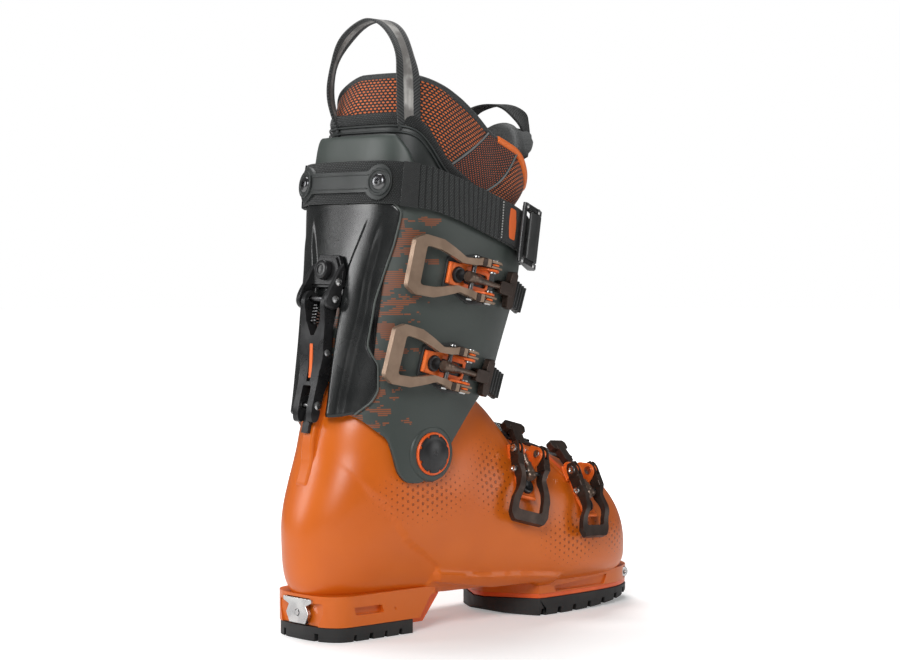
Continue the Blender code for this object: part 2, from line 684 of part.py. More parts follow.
def make_walk_lever():
    """Locking lever. It hangs from the bracket, and its fork straddles the rib on the shell."""
    x, z = WALK_PIN
    place = Matrix.Translation((x * MM, 0, z * MM))
    side = [(x + 4.5, z + 4), (x - 4.5, z + 4), (-26.5, 218.0), (-28.5, 186.0), (-31.5, 171.0),
            (-35.5, 157.0), (-36.0, 149.0), (-34.5, 146.0), (-32.0, 146.0), (-27.5, 154.0), (-26.8, 161.0),
            (-21.5, 172.0), (-20.0, 192.0), (-17.5, 214.0)]
    body = prism("walk_lever", [(a - x, b - z) for a, b in side], -12.6, 12.6, "XZ")
    lever = part("walk_lever", body, "black_gloss", place)
    here = Matrix.Identity(4)
    catch_x, catch_z = CATCH_PIN
    combine(lever, "DIFFERENCE",
            prism("walk_slot", [(-9, 240), (9, 240), (7.5, 214), (0, 205), (-7.5, 214)], -60, 0, "YZ"),
            prism("walk_fork", [(-4.4, 130), (4.4, 130), (4.4, 171), (-4.4, 171)], -60, 0, "YZ"),
            box("walk_lever_waist_lateral", (-60, -20, 130), (0, -10.2, 182)),
            box("walk_lever_waist_medial", (-60, 10.2, 130), (0, 20, 182)),
            rod("walk_lever_bore", (x, -25, z), (x, 25, z), 2.3),
            rod("catch_bore", (catch_x, -25, catch_z), (catch_x, 25, catch_z), 2.1), place=here)
    part("walk_lever_pin", rod("walk_lever_pin", (x, -17.6, z), (x, 17.6, z), 1.9), "steel")
    part("walk_catch_pin",
         rod("walk_catch_pin", (catch_x, -11.0, catch_z), (catch_x, 11.0, catch_z), 1.7), "steel")


def make_walk_anchor():
    """Steel catch on the shell's rib, under the lever's cross pin."""
    centre = (PIVOT_X, PIVOT_Z)
    outline = arc(centre, ANCHOR_ARC, 147, 168, 6) + arc(centre, RIB_ARC + GAP, 168, 147, 6)
    part("walk_anchor", prism("walk_anchor", outline, -3.6, 3.6, "XZ"), "black_gloss")


def make_walk_spring():
    """Coil spring in the lever's upper slot."""
    start = Vector((-19.5, 3.4, 224.5))
    end = Vector((-22.5, 3.4, 212.0))
    turns, per_turn, radius = 5, 8, 2.6
    axis = (end - start).normalized()
    side = axis.orthogonal().normalized()
    other = axis.cross(side)
    curve = bpy.data.curves.new("walk_spring", "CURVE")
    curve.dimensions = "3D"
    curve.bevel_depth = 0.6 * MM
    curve.bevel_resolution = 1
    curve.use_fill_caps = True
    spline = curve.splines.new("POLY")
    count = turns * per_turn + 1
    spline.points.add(count - 1)
    for k in range(count):
        spin = math.tau * k / per_turn
        spot = start.lerp(end, k / (count - 1))
        spot += radius * (side * math.cos(spin) + other * math.sin(spin))
        spline.points[k].co = (*(spot * MM), 1.0)
    curve.materials.append(bpy.data.materials["steel"])
    obj = bpy.data.objects.new("walk_spring", curve)
    bpy.data.collections["touring_boot"].objects.link(obj)


# ---------------------------------------------------------------- buckles

BUCKLE_NAMES = ("upper_cuff", "lower_cuff", "instep", "toe")


def make_bracket(name, place):
    base = box(f"{name}_bracket", (-32, -9, 0.6), (5, 9, 2.6))
    bracket = part(f"{name}_bracket", base, "orange_metal", place)
    ear = [(-9, 1.0), (5, 1.0), (5, 9.5), (3, 12.5), (-3, 12.5), (-9, 5.0)]
    combine(bracket, "UNION",
            prism(f"{name}_ear_a", ear, -9.0, -7.0, "XZ"),
            prism(f"{name}_ear_b", ear, 7.0, 9.0, "XZ"))
    combine(bracket, "DIFFERENCE",
            box(f"{name}_rod_slot", (-20, -4.5, -5), (10, 4.5, 5)),
            rod(f"{name}_ear_bore", (0, -12, PIVOT_HEIGHT), (0, 12, PIVOT_HEIGHT), 2.0, 10),
            rod(f"{name}_base_bore", (-24, 0, -5), (-24, 0, 8), 3.0, 10))
    turned(f"{name}_base_rivet",
           [(0, 3.0), (3.4, 3.0), (4.4, 2.2), (2.6, 2.2), (2.6, 0), (0, 0)], "black_gloss",
           (-24, 0, 0.8), (0, 0, 1), place, sides=10)


def make_lever(name, place, length, half_width, finish):
    """Loop handle on two arms: a plan outline cut to a side profile that bends to the boot.
    Its own origin is on its pivot."""
    pivot = shifted(place, 0, 0, PIVOT_HEIGHT)
    arm = ARM_OUTSIDE
    inner = arm - ARM_THICKNESS
    rear = -length
    half = [(5.5, arm), (rear * 0.42, arm), (rear * 0.60, half_width * 0.92), (rear * 0.88, half_width),
            (rear, half_width * 0.84)]
    outer = half + [(x, -y) for x, y in reversed(half)]
    half = [(20, inner), (rear * 0.44, inner), (rear * 0.60, half_width * 0.64),
            (rear + 9, half_width * 0.66)]
    hole = half + [(x, -y) for x, y in reversed(half)]
    lever = part(f"{name}_lever", prism(f"{name}_lever", outer, -20, 20), finish, pivot)
    side = [(6, 1.5), (2.5, 3.6), (-13, 3.6), (-21, 1.0), (-29, 0.4), (rear * 0.72, -3.2),
            (rear - 1, HANDLE_DROP + 3), (rear - 1, HANDLE_DROP), (rear * 0.70, -6.2), (-29, -3.0),
            (-19, -4.8), (2.5, -3.8), (6, -1.5)]
    combine(lever, "INTERSECT", prism(f"{name}_profile", side, -30, 30, "XZ"))
    drop = TRUNNION_Z - PIVOT_HEIGHT
    combine(lever, "DIFFERENCE",
            prism(f"{name}_hole", hole, -25, 25),
            rod(f"{name}_lever_bore", (0, -25, 0), (0, 25, 0), 2.0, 10),
            rod(f"{name}_trunnion_bore", (TRUNNION_X, -25, drop), (TRUNNION_X, 25, drop), 2.0, 10))
    for side, letter in ((-1, "a"), (1, "b")):
        turned(f"{name}_pivot_{letter}",
               [(0, 9.0), (2.4, 9.0), (2.8, 8.2), (1.6, 8.2), (1.6, 0), (0, 0)], "steel",
               (0, side * 6.8, 0), (0, side, 0), pivot, sides=10)


def make_bail(name, place, reach, tilt):
    """Trunnion, threaded rod and T-head in one piece. Its own origin is on its trunnion."""
    own = shifted(place, TRUNNION_X, 0, TRUNNION_Z) @ Matrix.Rotation(tilt, 4, "Y")
    half = ARM_OUTSIDE - 0.4
    bail = part(f"{name}_bail", rod(f"{name}_bail", (0, -half, 0), (0, half, 0), 1.7, 10), "bronze_dark", own)
    combine(bail, "UNION",
            rod(f"{name}_barrel", (-4, 0, 0.1), (10, 0, 0.1), 3.0),
            rod(f"{name}_thread", (5, 0, 0), (reach - 6, 0, 0), 2.0, 10),
            box(f"{name}_stem", (reach - 16, -4.2, -2.4), (reach, 4.2, 2.0)),
            box(f"{name}_head", (reach - 3, -12, -2.8), (reach + 3, 12, 1.6)))


def make_ladder(name, place, finish):
    """Toothed rack that the bail's head catches."""
    pitch, count = 8.0, 4
    profile = [(0.0, 0.6), (0.0, 1.8)]
    for k in range(count):
        x = k * pitch
        profile += [(x + 0.8, 5.2), (x + 2.2, 5.2), (x + 3.2, 1.8), (x + pitch, 1.8)]
    profile += [(count * pitch, 0.6)]
    part(f"{name}_ladder", prism(f"{name}_ladder", profile, -9.0, 9.0, "XZ"), finish, place)


def make_cuff_buckles():
    rows = (("upper_cuff", 72.0, 240.5, 12.0, 66.0), ("lower_cuff", 55.0, 180.5, 13.0, 63.0))
    for name, x, z, lean, length in rows:
        angle = lateral_angle(x + BASE_MIDDLE_X, z)
        rise = math.tan(math.radians(lean)) * -BASE_MIDDLE_X
        base = cuff_frame(angle, z + rise, GAP, math.radians(lean))
        place = shifted(base, -BASE_MIDDLE_X, 0, 0)
        make_bracket(name, place)
        make_lever(name, place, length, 20.5, "bronze")
        make_bail(name, place, 48.0, math.radians(12))
        catch_z = z - 10
        angle = lateral_angle(x + 44, catch_z)
        make_ladder(name, shifted(cuff_frame(angle, catch_z, GAP, math.radians(lean)), -11, 0, 0), "black_gloss")


def make_shell_buckles():
    rows = (("instep", 125.5, 0.52, 12.0, 51.0, 2.0, 16.0), ("toe", 187.0, 0.50, -1.0, 48.0, 0.5, 15.0))
    for name, x, share, lean, length, lift, tilt in rows:
        base = forefoot_frame(x - 2, share - 0.15, math.radians(lean), -1)
        place = shifted(base, -BASE_MIDDLE_X, 0, lift)
        make_bracket(name, place)
        make_lever(name, place, length, 17.0, "bronze_dark")
        make_bail(name, place, 42.0, math.radians(tilt))
        ridge = forefoot_frame(x + 14, 0.93, math.radians(lean), -1)
        make_ladder(name, shifted(ridge, -5, 0, lift + 1.0), "black_gloss")


# ---------------------------------------------------------------- the boot


def make_materials():
    material("orange", (0.80, 0.24, 0.035), 0.42)
    material("bright_orange", (0.90, 0.16, 0.02), 0.35)
    material("orange_metal", (0.85, 0.18, 0.02), 0.38, 0.3)
    material("grey", (0.055, 0.065, 0.06), 0.45)
    material("black_gloss", (0.012, 0.012, 0.013), 0.28)
    material("rubber", (0.02, 0.02, 0.02), 0.7)
    material("steel", (0.6, 0.6, 0.6), 0.25, 1.0)
    material("bronze", (0.34, 0.23, 0.16), 0.45, 0.7)
    material("bronze_dark", (0.07, 0.045, 0.035), 0.4, 0.7)
    material("webbing", (0.03, 0.033, 0.033), 0.85)
    material("liner_dark", (0.02, 0.022, 0.022), 0.8)
    material("liner_mesh", (0.35, 0.09, 0.02), 0.85)


def main():
    clear_scene()
    make_materials()
    make_soles()
    make_tech_inserts()
    make_lower_shell()
    make_boot_board()
    make_liner_lower()
    make_cuff()
    make_cuff_spine()
    make_pivots()
    make_liner_upper()
    make_pull_loops()
    make_power_strap()
    make_cam_buckle()
    make_walk_bracket()
    make_walk_lever()
    make_walk_anchor()
    make_walk_spring()
    make_cuff_buckles()
    make_shell_buckles()


main()
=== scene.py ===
"""Looks of the alpine touring boot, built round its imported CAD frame. Numbers are millimetres."""

import math

import bmesh
import bpy
import numpy as np
from mathutils import Matrix, Vector


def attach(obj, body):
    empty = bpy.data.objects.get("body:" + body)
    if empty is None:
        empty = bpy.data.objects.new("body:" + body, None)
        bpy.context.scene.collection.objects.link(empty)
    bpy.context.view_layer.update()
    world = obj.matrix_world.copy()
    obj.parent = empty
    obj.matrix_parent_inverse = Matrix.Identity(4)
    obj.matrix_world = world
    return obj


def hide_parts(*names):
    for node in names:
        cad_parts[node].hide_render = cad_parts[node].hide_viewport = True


MM = 0.001
SOLE, CUFF = "lower_boot", "cuff_unit"

# The CAD's own driving sizes, repeated here. The cuff wall is drawn 0.25 thicker.
HEEL_BACK, TOE_TIP = -40.0, 265.0
SHELL_WALL, SHELL_FLOOR, LINER_GAP, LINER_WALL, LINER_FLOOR = 4.5, 28.0, 1.5, 6.5, 34.4
TREAD_HEIGHT, HEEL_LEDGE, TOE_BLOCK_FOOT, TOE_LEDGE, TOE_PIN_HEIGHT = 9.5, 30.6, 15.6, 26.4, 20.8
FOREFOOT_REAR = 126.0
CUFF_WALL, GAP = 4.0, 0.4
PIVOT_X, PIVOT_Z = 36.0, 124.0
# Each station: low x and z, high x and z, lateral and medial half widths, height of the widest
# place as a share, and the roundness of its lower and upper halves
SHELL_STATIONS = [
    (254.0, 36.0, 254.0, 50.0, 6.0, 6.0, 0.45, 2.2, 2.2),
    (251.0, 27.0, 251.0, 62.0, 18.0, 17.0, 0.40, 2.4, 2.2),
    (244.0, 22.0, 244.0, 77.0, 30.0, 28.0, 0.38, 2.8, 2.2),
    (228.0, 20.0, 228.0, 94.0, 41.0, 38.0, 0.36, 3.2, 2.1),
    (200.0, 20.0, 200.0, 107.0, 49.0, 46.0, 0.36, 3.4, 2.1),
    (168.0, 20.0, 168.0, 120.0, 52.0, 49.5, 0.36, 3.4, 2.1),
    (135.0, 20.0, 140.0, 129.0, 50.0, 49.0, 0.38, 3.2, 2.1),
    (95.0, 20.0, 128.0, 140.0, 47.5, 46.5, 0.42, 3.0, 2.2),
    (50.0, 20.0, 121.5, 149.0, 45.5, 45.5, 0.45, 2.8, 2.2),
    (10.0, 20.0, 117.0, 153.5, 45.2, 45.2, 0.50, 2.6, 2.2),
    (-22.0, 20.0, 113.0, 157.0, 45.2, 45.2, 0.52, 2.4, 2.2),
    (-40.0, 33.0, 110.0, 159.5, 45.2, 45.2, 0.52, 2.3, 2.2),
    (-44.5, 56.0, 107.0, 161.5, 45.2, 45.2, 0.52, 2.2, 2.2),
    (-44.0, 78.0, 104.5, 163.0, 45.2, 45.2, 0.52, 2.2, 2.2),
    (-37.5, 102.0, 102.0, 164.5, 45.2, 45.2, 0.52, 2.2, 2.2),
    (-31.0, 122.0, 99.5, 166.0, 44.8, 44.8, 0.52, 2.2, 2.2),
    (-26.5, 141.0, 97.0, 167.0, 43.5, 43.5, 0.52, 2.2, 2.2),
    (-17.5, 162.0, 93.0, 169.0, 41.0, 41.0, 0.52, 2.3, 2.2),
]
# Each level: z, rear x, front x, lateral and medial half widths, roundness of the rear
CUFF_LEVELS = [
    (96.0, -39.0, 104.0, 50.6, 50.6, 2.3),
    (124.0, -32.5, 110.0, 50.6, 50.6, 2.3),
    (150.0, -26.5, 117.0, 51.6, 51.2, 2.4),
    (180.0, -20.7, 125.0, 54.0, 53.0, 2.5),
    (210.0, -15.0, 135.0, 57.0, 55.0, 2.6),
    (240.0, -9.2, 144.0, 60.0, 58.0, 2.8),
    (270.0, -3.4, 147.5, 61.0, 59.5, 3.2),
    (300.0, 1.5, 148.5, 61.0, 59.5, 3.8),
    (340.0, 7.5, 150.0, 58.5, 57.5, 3.8),
    (400.0, 15.0, 152.0, 52.0, 51.0, 3.0),
]
CUFF_FRONT_ROUND, CUFF_WIDEST = 2.2, 0.45

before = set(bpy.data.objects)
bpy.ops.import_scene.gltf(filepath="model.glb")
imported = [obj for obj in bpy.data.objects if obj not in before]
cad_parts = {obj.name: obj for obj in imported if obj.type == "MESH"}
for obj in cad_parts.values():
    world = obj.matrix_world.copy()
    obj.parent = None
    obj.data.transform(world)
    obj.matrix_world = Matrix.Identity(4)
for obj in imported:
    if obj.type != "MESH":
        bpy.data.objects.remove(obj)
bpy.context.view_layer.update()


# ---------------------------------------------------------------- mathematics


def natural_spline(knots, values, at):
    """Cubic spline through a value or an array of values at each knot, unbent at its ends."""
    knots = np.asarray(knots, float)
    values = np.asarray(values, float)
    count = len(knots)
    rows = values.reshape(count, -1)
    step = np.diff(knots)
    slope = np.diff(rows, axis=0) / step[:, None]
    system = np.identity(count)
    right = np.zeros(rows.shape)
    for i in range(1, count - 1):
        system[i, i - 1 : i + 2] = step[i - 1], 2 * (step[i - 1] + step[i]), step[i]
        right[i] = 6 * (slope[i] - slope[i - 1])
    bend = np.linalg.solve(system, right)
    at = np.atleast_1d(np.asarray(at, float))
    cell = np.clip(np.searchsorted(knots, at) - 1, 0, count - 2)
    h = step[cell][:, None]
    t = (at - knots[cell])[:, None]
    found = (
        rows[cell]
        + t * (slope[cell] - h * (2 * bend[cell] + bend[cell + 1]) / 6)
        + t**2 * bend[cell] / 2
        + t**3 * (bend[cell + 1] - bend[cell]) / (6 * h)
    )
    return found.reshape(len(at), *values.shape[1:])


def along(x, points, soften=0.0):
    """Interpolation through (x, value) points, with its corners rounded over +-soften."""
    knots = [p[0] for p in points]
    values = [p[1] for p in points]
    if not soften:
        return float(np.interp(x, knots, values))
    return float(np.interp(x + np.linspace(-soften, soften, 9), knots, values).mean())


def ease(t):
    t = np.clip(t, 0.0, 1.0)
    return t * t * (3 - 2 * t)


def power(base, exponent):
    return np.sign(base) * np.abs(base) ** exponent


def smooth_path(points, count):
    """Points evenly spaced in parameter on a spline through the given ones."""
    points = np.asarray(points, float)
    knots = np.concatenate([[0.0], np.cumsum(np.linalg.norm(np.diff(points, axis=0), axis=1))])
    return natural_spline(knots, points, np.linspace(0.0, knots[-1], count))


# ---------------------------------------------------------------- surfaces of the boot


def shell_section(station, inset, floor, turns):
    low_x, low_z, high_x, high_z, lateral, medial, widest, low_round, high_round = station
    low = np.array([low_x, low_z])
    high = np.array([high_x, high_z])
    length = np.linalg.norm(high - low)
    up = (high - low) / length
    shrink = min(inset, 0.42 * length)
    c = np.cos(turns)
    s = np.sin(turns)
    roundness = np.where(c > 0, high_round, low_round)
    c = power(c, 2 / roundness) * np.where(c > 0, (1 - widest) * length - shrink, widest * length - shrink)
    side = power(s, 2 / roundness) * np.where(s < 0, lateral - inset, medial - inset)
    middle = low + up * widest * length
    return np.stack([middle[0] + up[0] * c, side, np.maximum(middle[1] + up[1] * c, floor)], axis=1)


def shell_grid(rows, columns, inset=0.0, floor=-99.0):
    """Closed loops of the lower shell from the toe tip to the collar."""
    turns = math.tau * (np.arange(columns) + 0.5) / columns
    loops = [shell_section(s, inset, floor, turns) for s in SHELL_STATIONS]
    for k, share in enumerate((1.0, 0.75, 0.5)):
        loops[k][:, 0] -= inset * share
    grid = natural_spline(range(len(loops)), loops, np.linspace(0, len(loops) - 1, rows))
    grid[:, :, 2] = np.maximum(grid[:, :, 2], floor)
    return grid


def forefoot_station(x, count=9):
    """Section of the forefoot at x, from the first count stations."""
    stations = sorted(SHELL_STATIONS[:count])
    return natural_spline([s[0] for s in stations], stations, x)[0]


def section_point(station, turn):
    return Vector(shell_section(station, 0.0, -99.0, np.array([turn]))[0])


def forefoot_point(x, share, side, lift=0.0):
    """Point of the lower shell at this x. share 0 is the side and 1 the ridge."""

    def bare(at_x, at_share):
        turn = side * math.radians(90 * (1 - at_share))
        return section_point(forefoot_station(at_x), turn)

    spot = bare(x, share)
    if not lift:
        return spot
    climb = bare(x, share + 0.01) - spot
    ahead = bare(x + 1.0, share) - spot
    return spot + climb.cross(ahead).normalized() * side * lift


def cuff_section(z):
    sizes = [level[1:] for level in CUFF_LEVELS]
    return natural_spline([level[0] for level in CUFF_LEVELS], sizes, z)[0]


def cuff_point(angle, z, outset=0.0):
    """Point on the cuff. Angle 0 is the front, 90 degrees the medial side, 180 the rear."""
    rear, front, lateral, medial, rear_round = cuff_section(z)
    centre = rear + CUFF_WIDEST * (front - rear)
    c = math.cos(angle)
    s = math.sin(angle)
    roundness = CUFF_FRONT_ROUND if c > 0 else rear_round
    reach = (front - centre if c > 0 else centre - rear) + outset
    side = (lateral if s < 0 else medial) + outset
    return Vector((centre + power(c, 2 / roundness) * reach, power(s, 2 / roundness) * side, z))


def cuff_angle(y, z, outset=0.0):
    """Angle, away from straight back, at which the rear half of the cuff has this y."""
    _, _, lateral, medial, rear_round = cuff_section(z)
    side = (lateral if y < 0 else medial) + outset
    away = math.asin(min(abs(y) / side, 1.0) ** (rear_round / 2))
    return math.pi + away if y < 0 else math.pi - away


def lateral_angle(x, z, point=cuff_point):
    """Angle at which the lateral side of the cuff, or of another surface round it, has this x."""
    low, high = math.pi, math.tau
    for _ in range(30):
        middle = (low + high) / 2
        low, high = (middle, high) if point(middle, z).x < x else (low, middle)
    return low


def liner_point(angle, z, outset=0.0):
    """Outer face of the liner inside the cuff. Above the cuff it fills out, mostly at the front."""
    inset = CUFF_WALL + 7.2 - 4.0 * float(ease((z - 310) / 60))
    flare = 11.0 * float(ease((z - 282) / 26) * ease((math.cos(angle) - 0.3) / 0.5))
    return cuff_point(angle, z, outset + flare - inset)


# ---------------------------------------------------------------- mesh helpers


def link(obj, body=None, nodes=()):
    bpy.context.scene.collection.objects.link(obj)
    if body:
        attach(obj, body)
    if nodes:
        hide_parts(*nodes)
    return obj


def smoothed(mesh, sharp=40):
    mesh.shade_smooth()
    mesh.set_sharp_from_angle(angle=math.radians(sharp))
    return mesh


def piece(name, mesh, finish, body, nodes=(), place=None, bevel=0.0):
    """Object that rides with a body and stands for the nodes, with its sharp edges bevelled."""
    obj = bpy.data.objects.new(name, mesh)
    if place is not None:
        obj.matrix_world = place
    mesh.materials.append(FINISHES[finish])
    if bevel:
        edge = obj.modifiers.new("bevel", "BEVEL")
        edge.width = bevel * MM
        edge.segments = 3
        edge.limit_method = "ANGLE"
        edge.angle_limit = math.radians(35)
    return link(obj, body, nodes)


def grid_mesh(name, grid, closed=False, caps=False):
    """Surface through rows of points, with UVs that run in metres along and across it."""
    grid = np.asarray(grid, float)
    rows, columns = grid.shape[:2]
    spans = columns if closed else columns - 1
    r, c = np.meshgrid(np.arange(rows - 1), np.arange(spans), indexing="ij")
    n = (c + 1) % columns
    faces = np.stack([r * columns + c, r * columns + n, (r + 1) * columns + n, (r + 1) * columns + c],
                     axis=-1)
    faces = faces.reshape(-1, 4).tolist()
    ends = []
    if caps:
        ends = [list(range(columns))[::-1], list(range((rows - 1) * columns, rows * columns))]
    mesh = bpy.data.meshes.new(name)
    mesh.from_pydata((grid.reshape(-1, 3) * MM).tolist(), [], faces + ends)
    ring = np.concatenate([grid, grid[:, :1]], axis=1) if closed else grid
    middle = ring[rows // 2]
    u = np.concatenate([[0.0], np.cumsum(np.linalg.norm(np.diff(middle, axis=0), axis=1))]) * MM
    v = np.concatenate([[0.0], np.cumsum(np.linalg.norm(np.diff(grid[:, columns // 2], axis=0),
                                                        axis=1))]) * MM
    corners = np.zeros((len(mesh.loops), 2))
    quads = np.stack([np.stack([u[c], v[r]], -1), np.stack([u[c + 1], v[r]], -1),
                      np.stack([u[c + 1], v[r + 1]], -1), np.stack([u[c], v[r + 1]], -1)], axis=2)
    corners[: quads.size // 2] = quads.reshape(-1, 2)
    layer = mesh.uv_layers.new(name="metres")
    layer.data.foreach_set("uv", corners.astype(np.float32).ravel())
    return smoothed(mesh)


def solidify(obj, thickness):
    solid = obj.modifiers.new("thickness", "SOLIDIFY")
    solid.thickness = thickness * MM
    solid.offset = 0.0
    solid.use_even_offset = True
    return obj


def prism_mesh(name, outline, low, high, plane="XY"):
    """Outline extruded along the axis that its plane leaves out."""
    lift = {"XY": (0, 1, 2), "XZ": (0, 2, 1), "YZ": (1, 2, 0)}[plane]
    work = bmesh.new()
    verts = []
    for point in outline:
        co = [0.0, 0.0, 0.0]
        for axis, value in zip(lift, (*point, low)):
            co[axis] = value * MM
        verts.append(work.verts.new(co))
    face = work.faces.new(verts)
    made = bmesh.ops.extrude_face_region(work, geom=[face])["geom"]
    move = [0.0, 0.0, 0.0]
    move[lift[2]] = (high - low) * MM
    bmesh.ops.translate(work, vec=move, verts=[v for v in made if isinstance(v, bmesh.types.BMVert)])
    bmesh.ops.recalc_face_normals(work, faces=work.faces)
    mesh = bpy.data.meshes.new(name)
    work.to_mesh(mesh)
    work.free()
    return smoothed(mesh)


def joined(name, meshes):
    """One mesh out of several."""
    work = bmesh.new()
    for mesh in meshes:
        work.from_mesh(mesh)
        bpy.data.meshes.remove(mesh)
    mesh = bpy.data.meshes.new(name)
    work.to_mesh(mesh)
    work.free()
    return smoothed(mesh)


def baked(obj):
    """The object's mesh with its modifiers applied. The object itself is removed."""
    mesh = bpy.data.meshes.new_from_object(obj.evaluated_get(bpy.context.evaluated_depsgraph_get()))
    bpy.data.objects.remove(obj, do_unlink=True)
    return mesh


def carved(name, mesh, cutters, operation="DIFFERENCE"):
    """The mesh after a Boolean with each cutter."""
    obj = bpy.data.objects.new(name, mesh)
    bpy.context.scene.collection.objects.link(obj)
    helpers = []
    for cutter in cutters:
        other = bpy.data.objects.new(cutter.name, cutter)
        bpy.context.scene.collection.objects.link(other)
        helpers.append(other)
        modifier = obj.modifiers.new(cutter.name, "BOOLEAN")
        modifier.operation = operation
        modifier.object = other
    bpy.context.view_layer.update()
    mesh = baked(obj)
    for other in helpers:
        bpy.data.objects.remove(other, do_unlink=True)
    return smoothed(mesh)


def outward(mesh):
    """The mesh with its normals turned to point out of it."""
    work = bmesh.new()
    work.from_mesh(mesh)
    bmesh.ops.recalc_face_normals(work, faces=work.faces)
    work.to_mesh(mesh)
    work.free()
    return mesh


def lathe_mesh(name, profile, sides=48):
    """Solid turned about +Z. The profile holds (radius, height) points from top to foot."""
    turns = math.tau * np.arange(sides) / sides
    grid = [[(r * math.cos(t), r * math.sin(t), h) for t in turns] for r, h in profile]
    return smoothed(outward(grid_mesh(name, grid[::-1], closed=True, caps=True)))


def tube(name, points, radius, finish, body, nodes=()):
    """Round cord along points."""
    curve = bpy.data.curves.new(name, "CURVE")
    curve.dimensions = "3D"
    curve.bevel_depth = radius * MM
    curve.bevel_resolution = 3
    curve.use_fill_caps = True
    spline = curve.splines.new("POLY")
    spline.points.add(len(points) - 1)
    for point, place in zip(spline.points, points):
        point.co = (*(Vector(place) * MM), 1.0)
    spline.use_smooth = True
    curve.materials.append(FINISHES[finish])
    return link(bpy.data.objects.new(name, curve), body, nodes)


def ribbon_mesh(name, path, across, width, count, crown=0.0):
    """Strip of webbing along a path; across is the direction of its width."""
    path = smooth_path(path, count)
    across = natural_spline(np.linspace(0, 1, len(across)), np.asarray(across, float),
                            np.linspace(0, 1, count))
    ahead = np.gradient(path, axis=0)
    across /= np.linalg.norm(across, axis=1)[:, None]
    out = np.cross(ahead, across)
    out /= np.linalg.norm(out, axis=1)[:, None]
    grid = []
    for side in np.linspace(-0.5, 0.5, 9):
        lift = crown * (1 - (2 * side) ** 2)
        grid.append(path + across * side * width + out * lift)
    return grid_mesh(name, grid)


# ---------------------------------------------------------------- materials


FINISHES = {}


class Finish:
    """A Principled material, and short calls for the nodes behind it."""

    def __init__(self, name, roughness, metallic=0.0, colour=(0.5, 0.5, 0.5), **sockets):
        self.material = bpy.data.materials.new(name)
        FINISHES[name] = self.material
        self.material.use_nodes = True
        self.tree = self.material.node_tree
        self.shader = self.tree.nodes["Principled BSDF"]
        self.shader.inputs["Metallic"].default_value = metallic
        self.shader.inputs["Roughness"].default_value = roughness
        self.shader.inputs["Base Color"].default_value = (*colour, 1.0)
        for socket, value in sockets.items():
            self.shader.inputs[socket.replace("_", " ")].default_value = value
        self.place = self.node("ShaderNodeTexCoord").outputs["Object"]
        self.height = None

    def node(self, kind, *inputs, **settings):
        made = self.tree.nodes.new(kind)
        for key, value in settings.items():
            setattr(made, key, value)
        for socket, value in zip(made.inputs, inputs):
            if isinstance(value, bpy.types.NodeSocket):
                self.tree.links.new(value, socket)
            elif value is not None:
                socket.default_value = value
        return made

    def math(self, operation, *inputs):
        return self.node("ShaderNodeMath", *inputs, operation=operation).outputs[0]

    def distance(self, a, b):
        """Length of the vector (a, b)."""
        squares = self.math("MULTIPLY", a, a), self.math("MULTIPLY", b, b)
        return self.math("SQRT", self.math("ADD", *squares))

    def axes(self, vector):
        return self.node("ShaderNodeSeparateXYZ", vector).outputs

    def vector(self, x, y, z=0.0):
        return self.node("ShaderNodeCombineXYZ", x, y, z).outputs[0]

    def uv(self):
        return self.node("ShaderNodeUVMap", uv_map="metres").outputs[0]

    def noise(self, scale, detail=3.0, vector=None, stretch=None):
        where = self.place if vector is None else vector
        if stretch:
            where = self.node("ShaderNodeVectorMath", where, stretch, operation="MULTIPLY").outputs[0]
        made = self.node("ShaderNodeTexNoise")
        self.tree.links.new(where, made.inputs["Vector"])
        made.inputs["Scale"].default_value = scale
        made.inputs["Detail"].default_value = detail
        return made.outputs["Fac"]

    def between(self, value, low, high, to_low=0.0, to_high=1.0, smooth=True):
        made = self.node("ShaderNodeMapRange", value, low, high, to_low, to_high)
        made.interpolation_type = "SMOOTHSTEP" if smooth else "LINEAR"
        return made.outputs[0]

    def blend(self, share, first, second):
        made = self.node("ShaderNodeMix", data_type="RGBA")
        colours = [socket for socket in made.inputs if socket.type == "RGBA"]
        for socket, value in ((made.inputs[0], share), (colours[0], first), (colours[1], second)):
            if isinstance(value, bpy.types.NodeSocket):
                self.tree.links.new(value, socket)
            else:
                socket.default_value = value if isinstance(value, float) else (*value, 1.0)
        return [socket for socket in made.outputs if socket.type == "RGBA"][0]

    def colour(self, value):
        self.tree.links.new(value, self.shader.inputs["Base Color"])

    def rough(self, value):
        self.tree.links.new(value, self.shader.inputs["Roughness"])

    def raised(self, height, depth):
        """Adds bump: height runs from 0 to 1 over depth in millimetres."""
        bump = self.node("ShaderNodeBump")
        bump.inputs["Strength"].default_value = 1.0
        bump.inputs["Distance"].default_value = depth * MM
        self.tree.links.new(height, bump.inputs["Height"])
        if self.height is not None:
            self.tree.links.new(self.height, bump.inputs["Normal"])
        self.height = bump.outputs[0]
        self.tree.links.new(self.height, self.shader.inputs["Normal"])

    def worn(self, dark, light, scale=60.0):
        """Colour that drifts a little between two tones."""
        self.colour(self.blend(self.between(self.noise(scale), 0.35, 0.65), dark, light))

    def dots(self, u, v, pitch_u, pitch_v, radius):
        """1 inside a staggered grid of dots, 0 outside. radius may be a socket, in metres."""
        row = self.math("DIVIDE", v, pitch_v)
        odd = self.math("MODULO", self.math("FLOOR", row), 2.0)
        shift = self.math("MULTIPLY", self.math("ABSOLUTE", odd), 0.5)
        column = self.math("ADD", self.math("DIVIDE", u, pitch_u), shift)
        du = self.math("MULTIPLY", self.math("SUBTRACT", self.math("FRACT", column), 0.5), pitch_u)
        dv = self.math("MULTIPLY", self.math("SUBTRACT", self.math("FRACT", row), 0.5), pitch_v)
        return self.between(self.math("DIVIDE", self.distance(du, dv), radius), 1.15, 0.75)


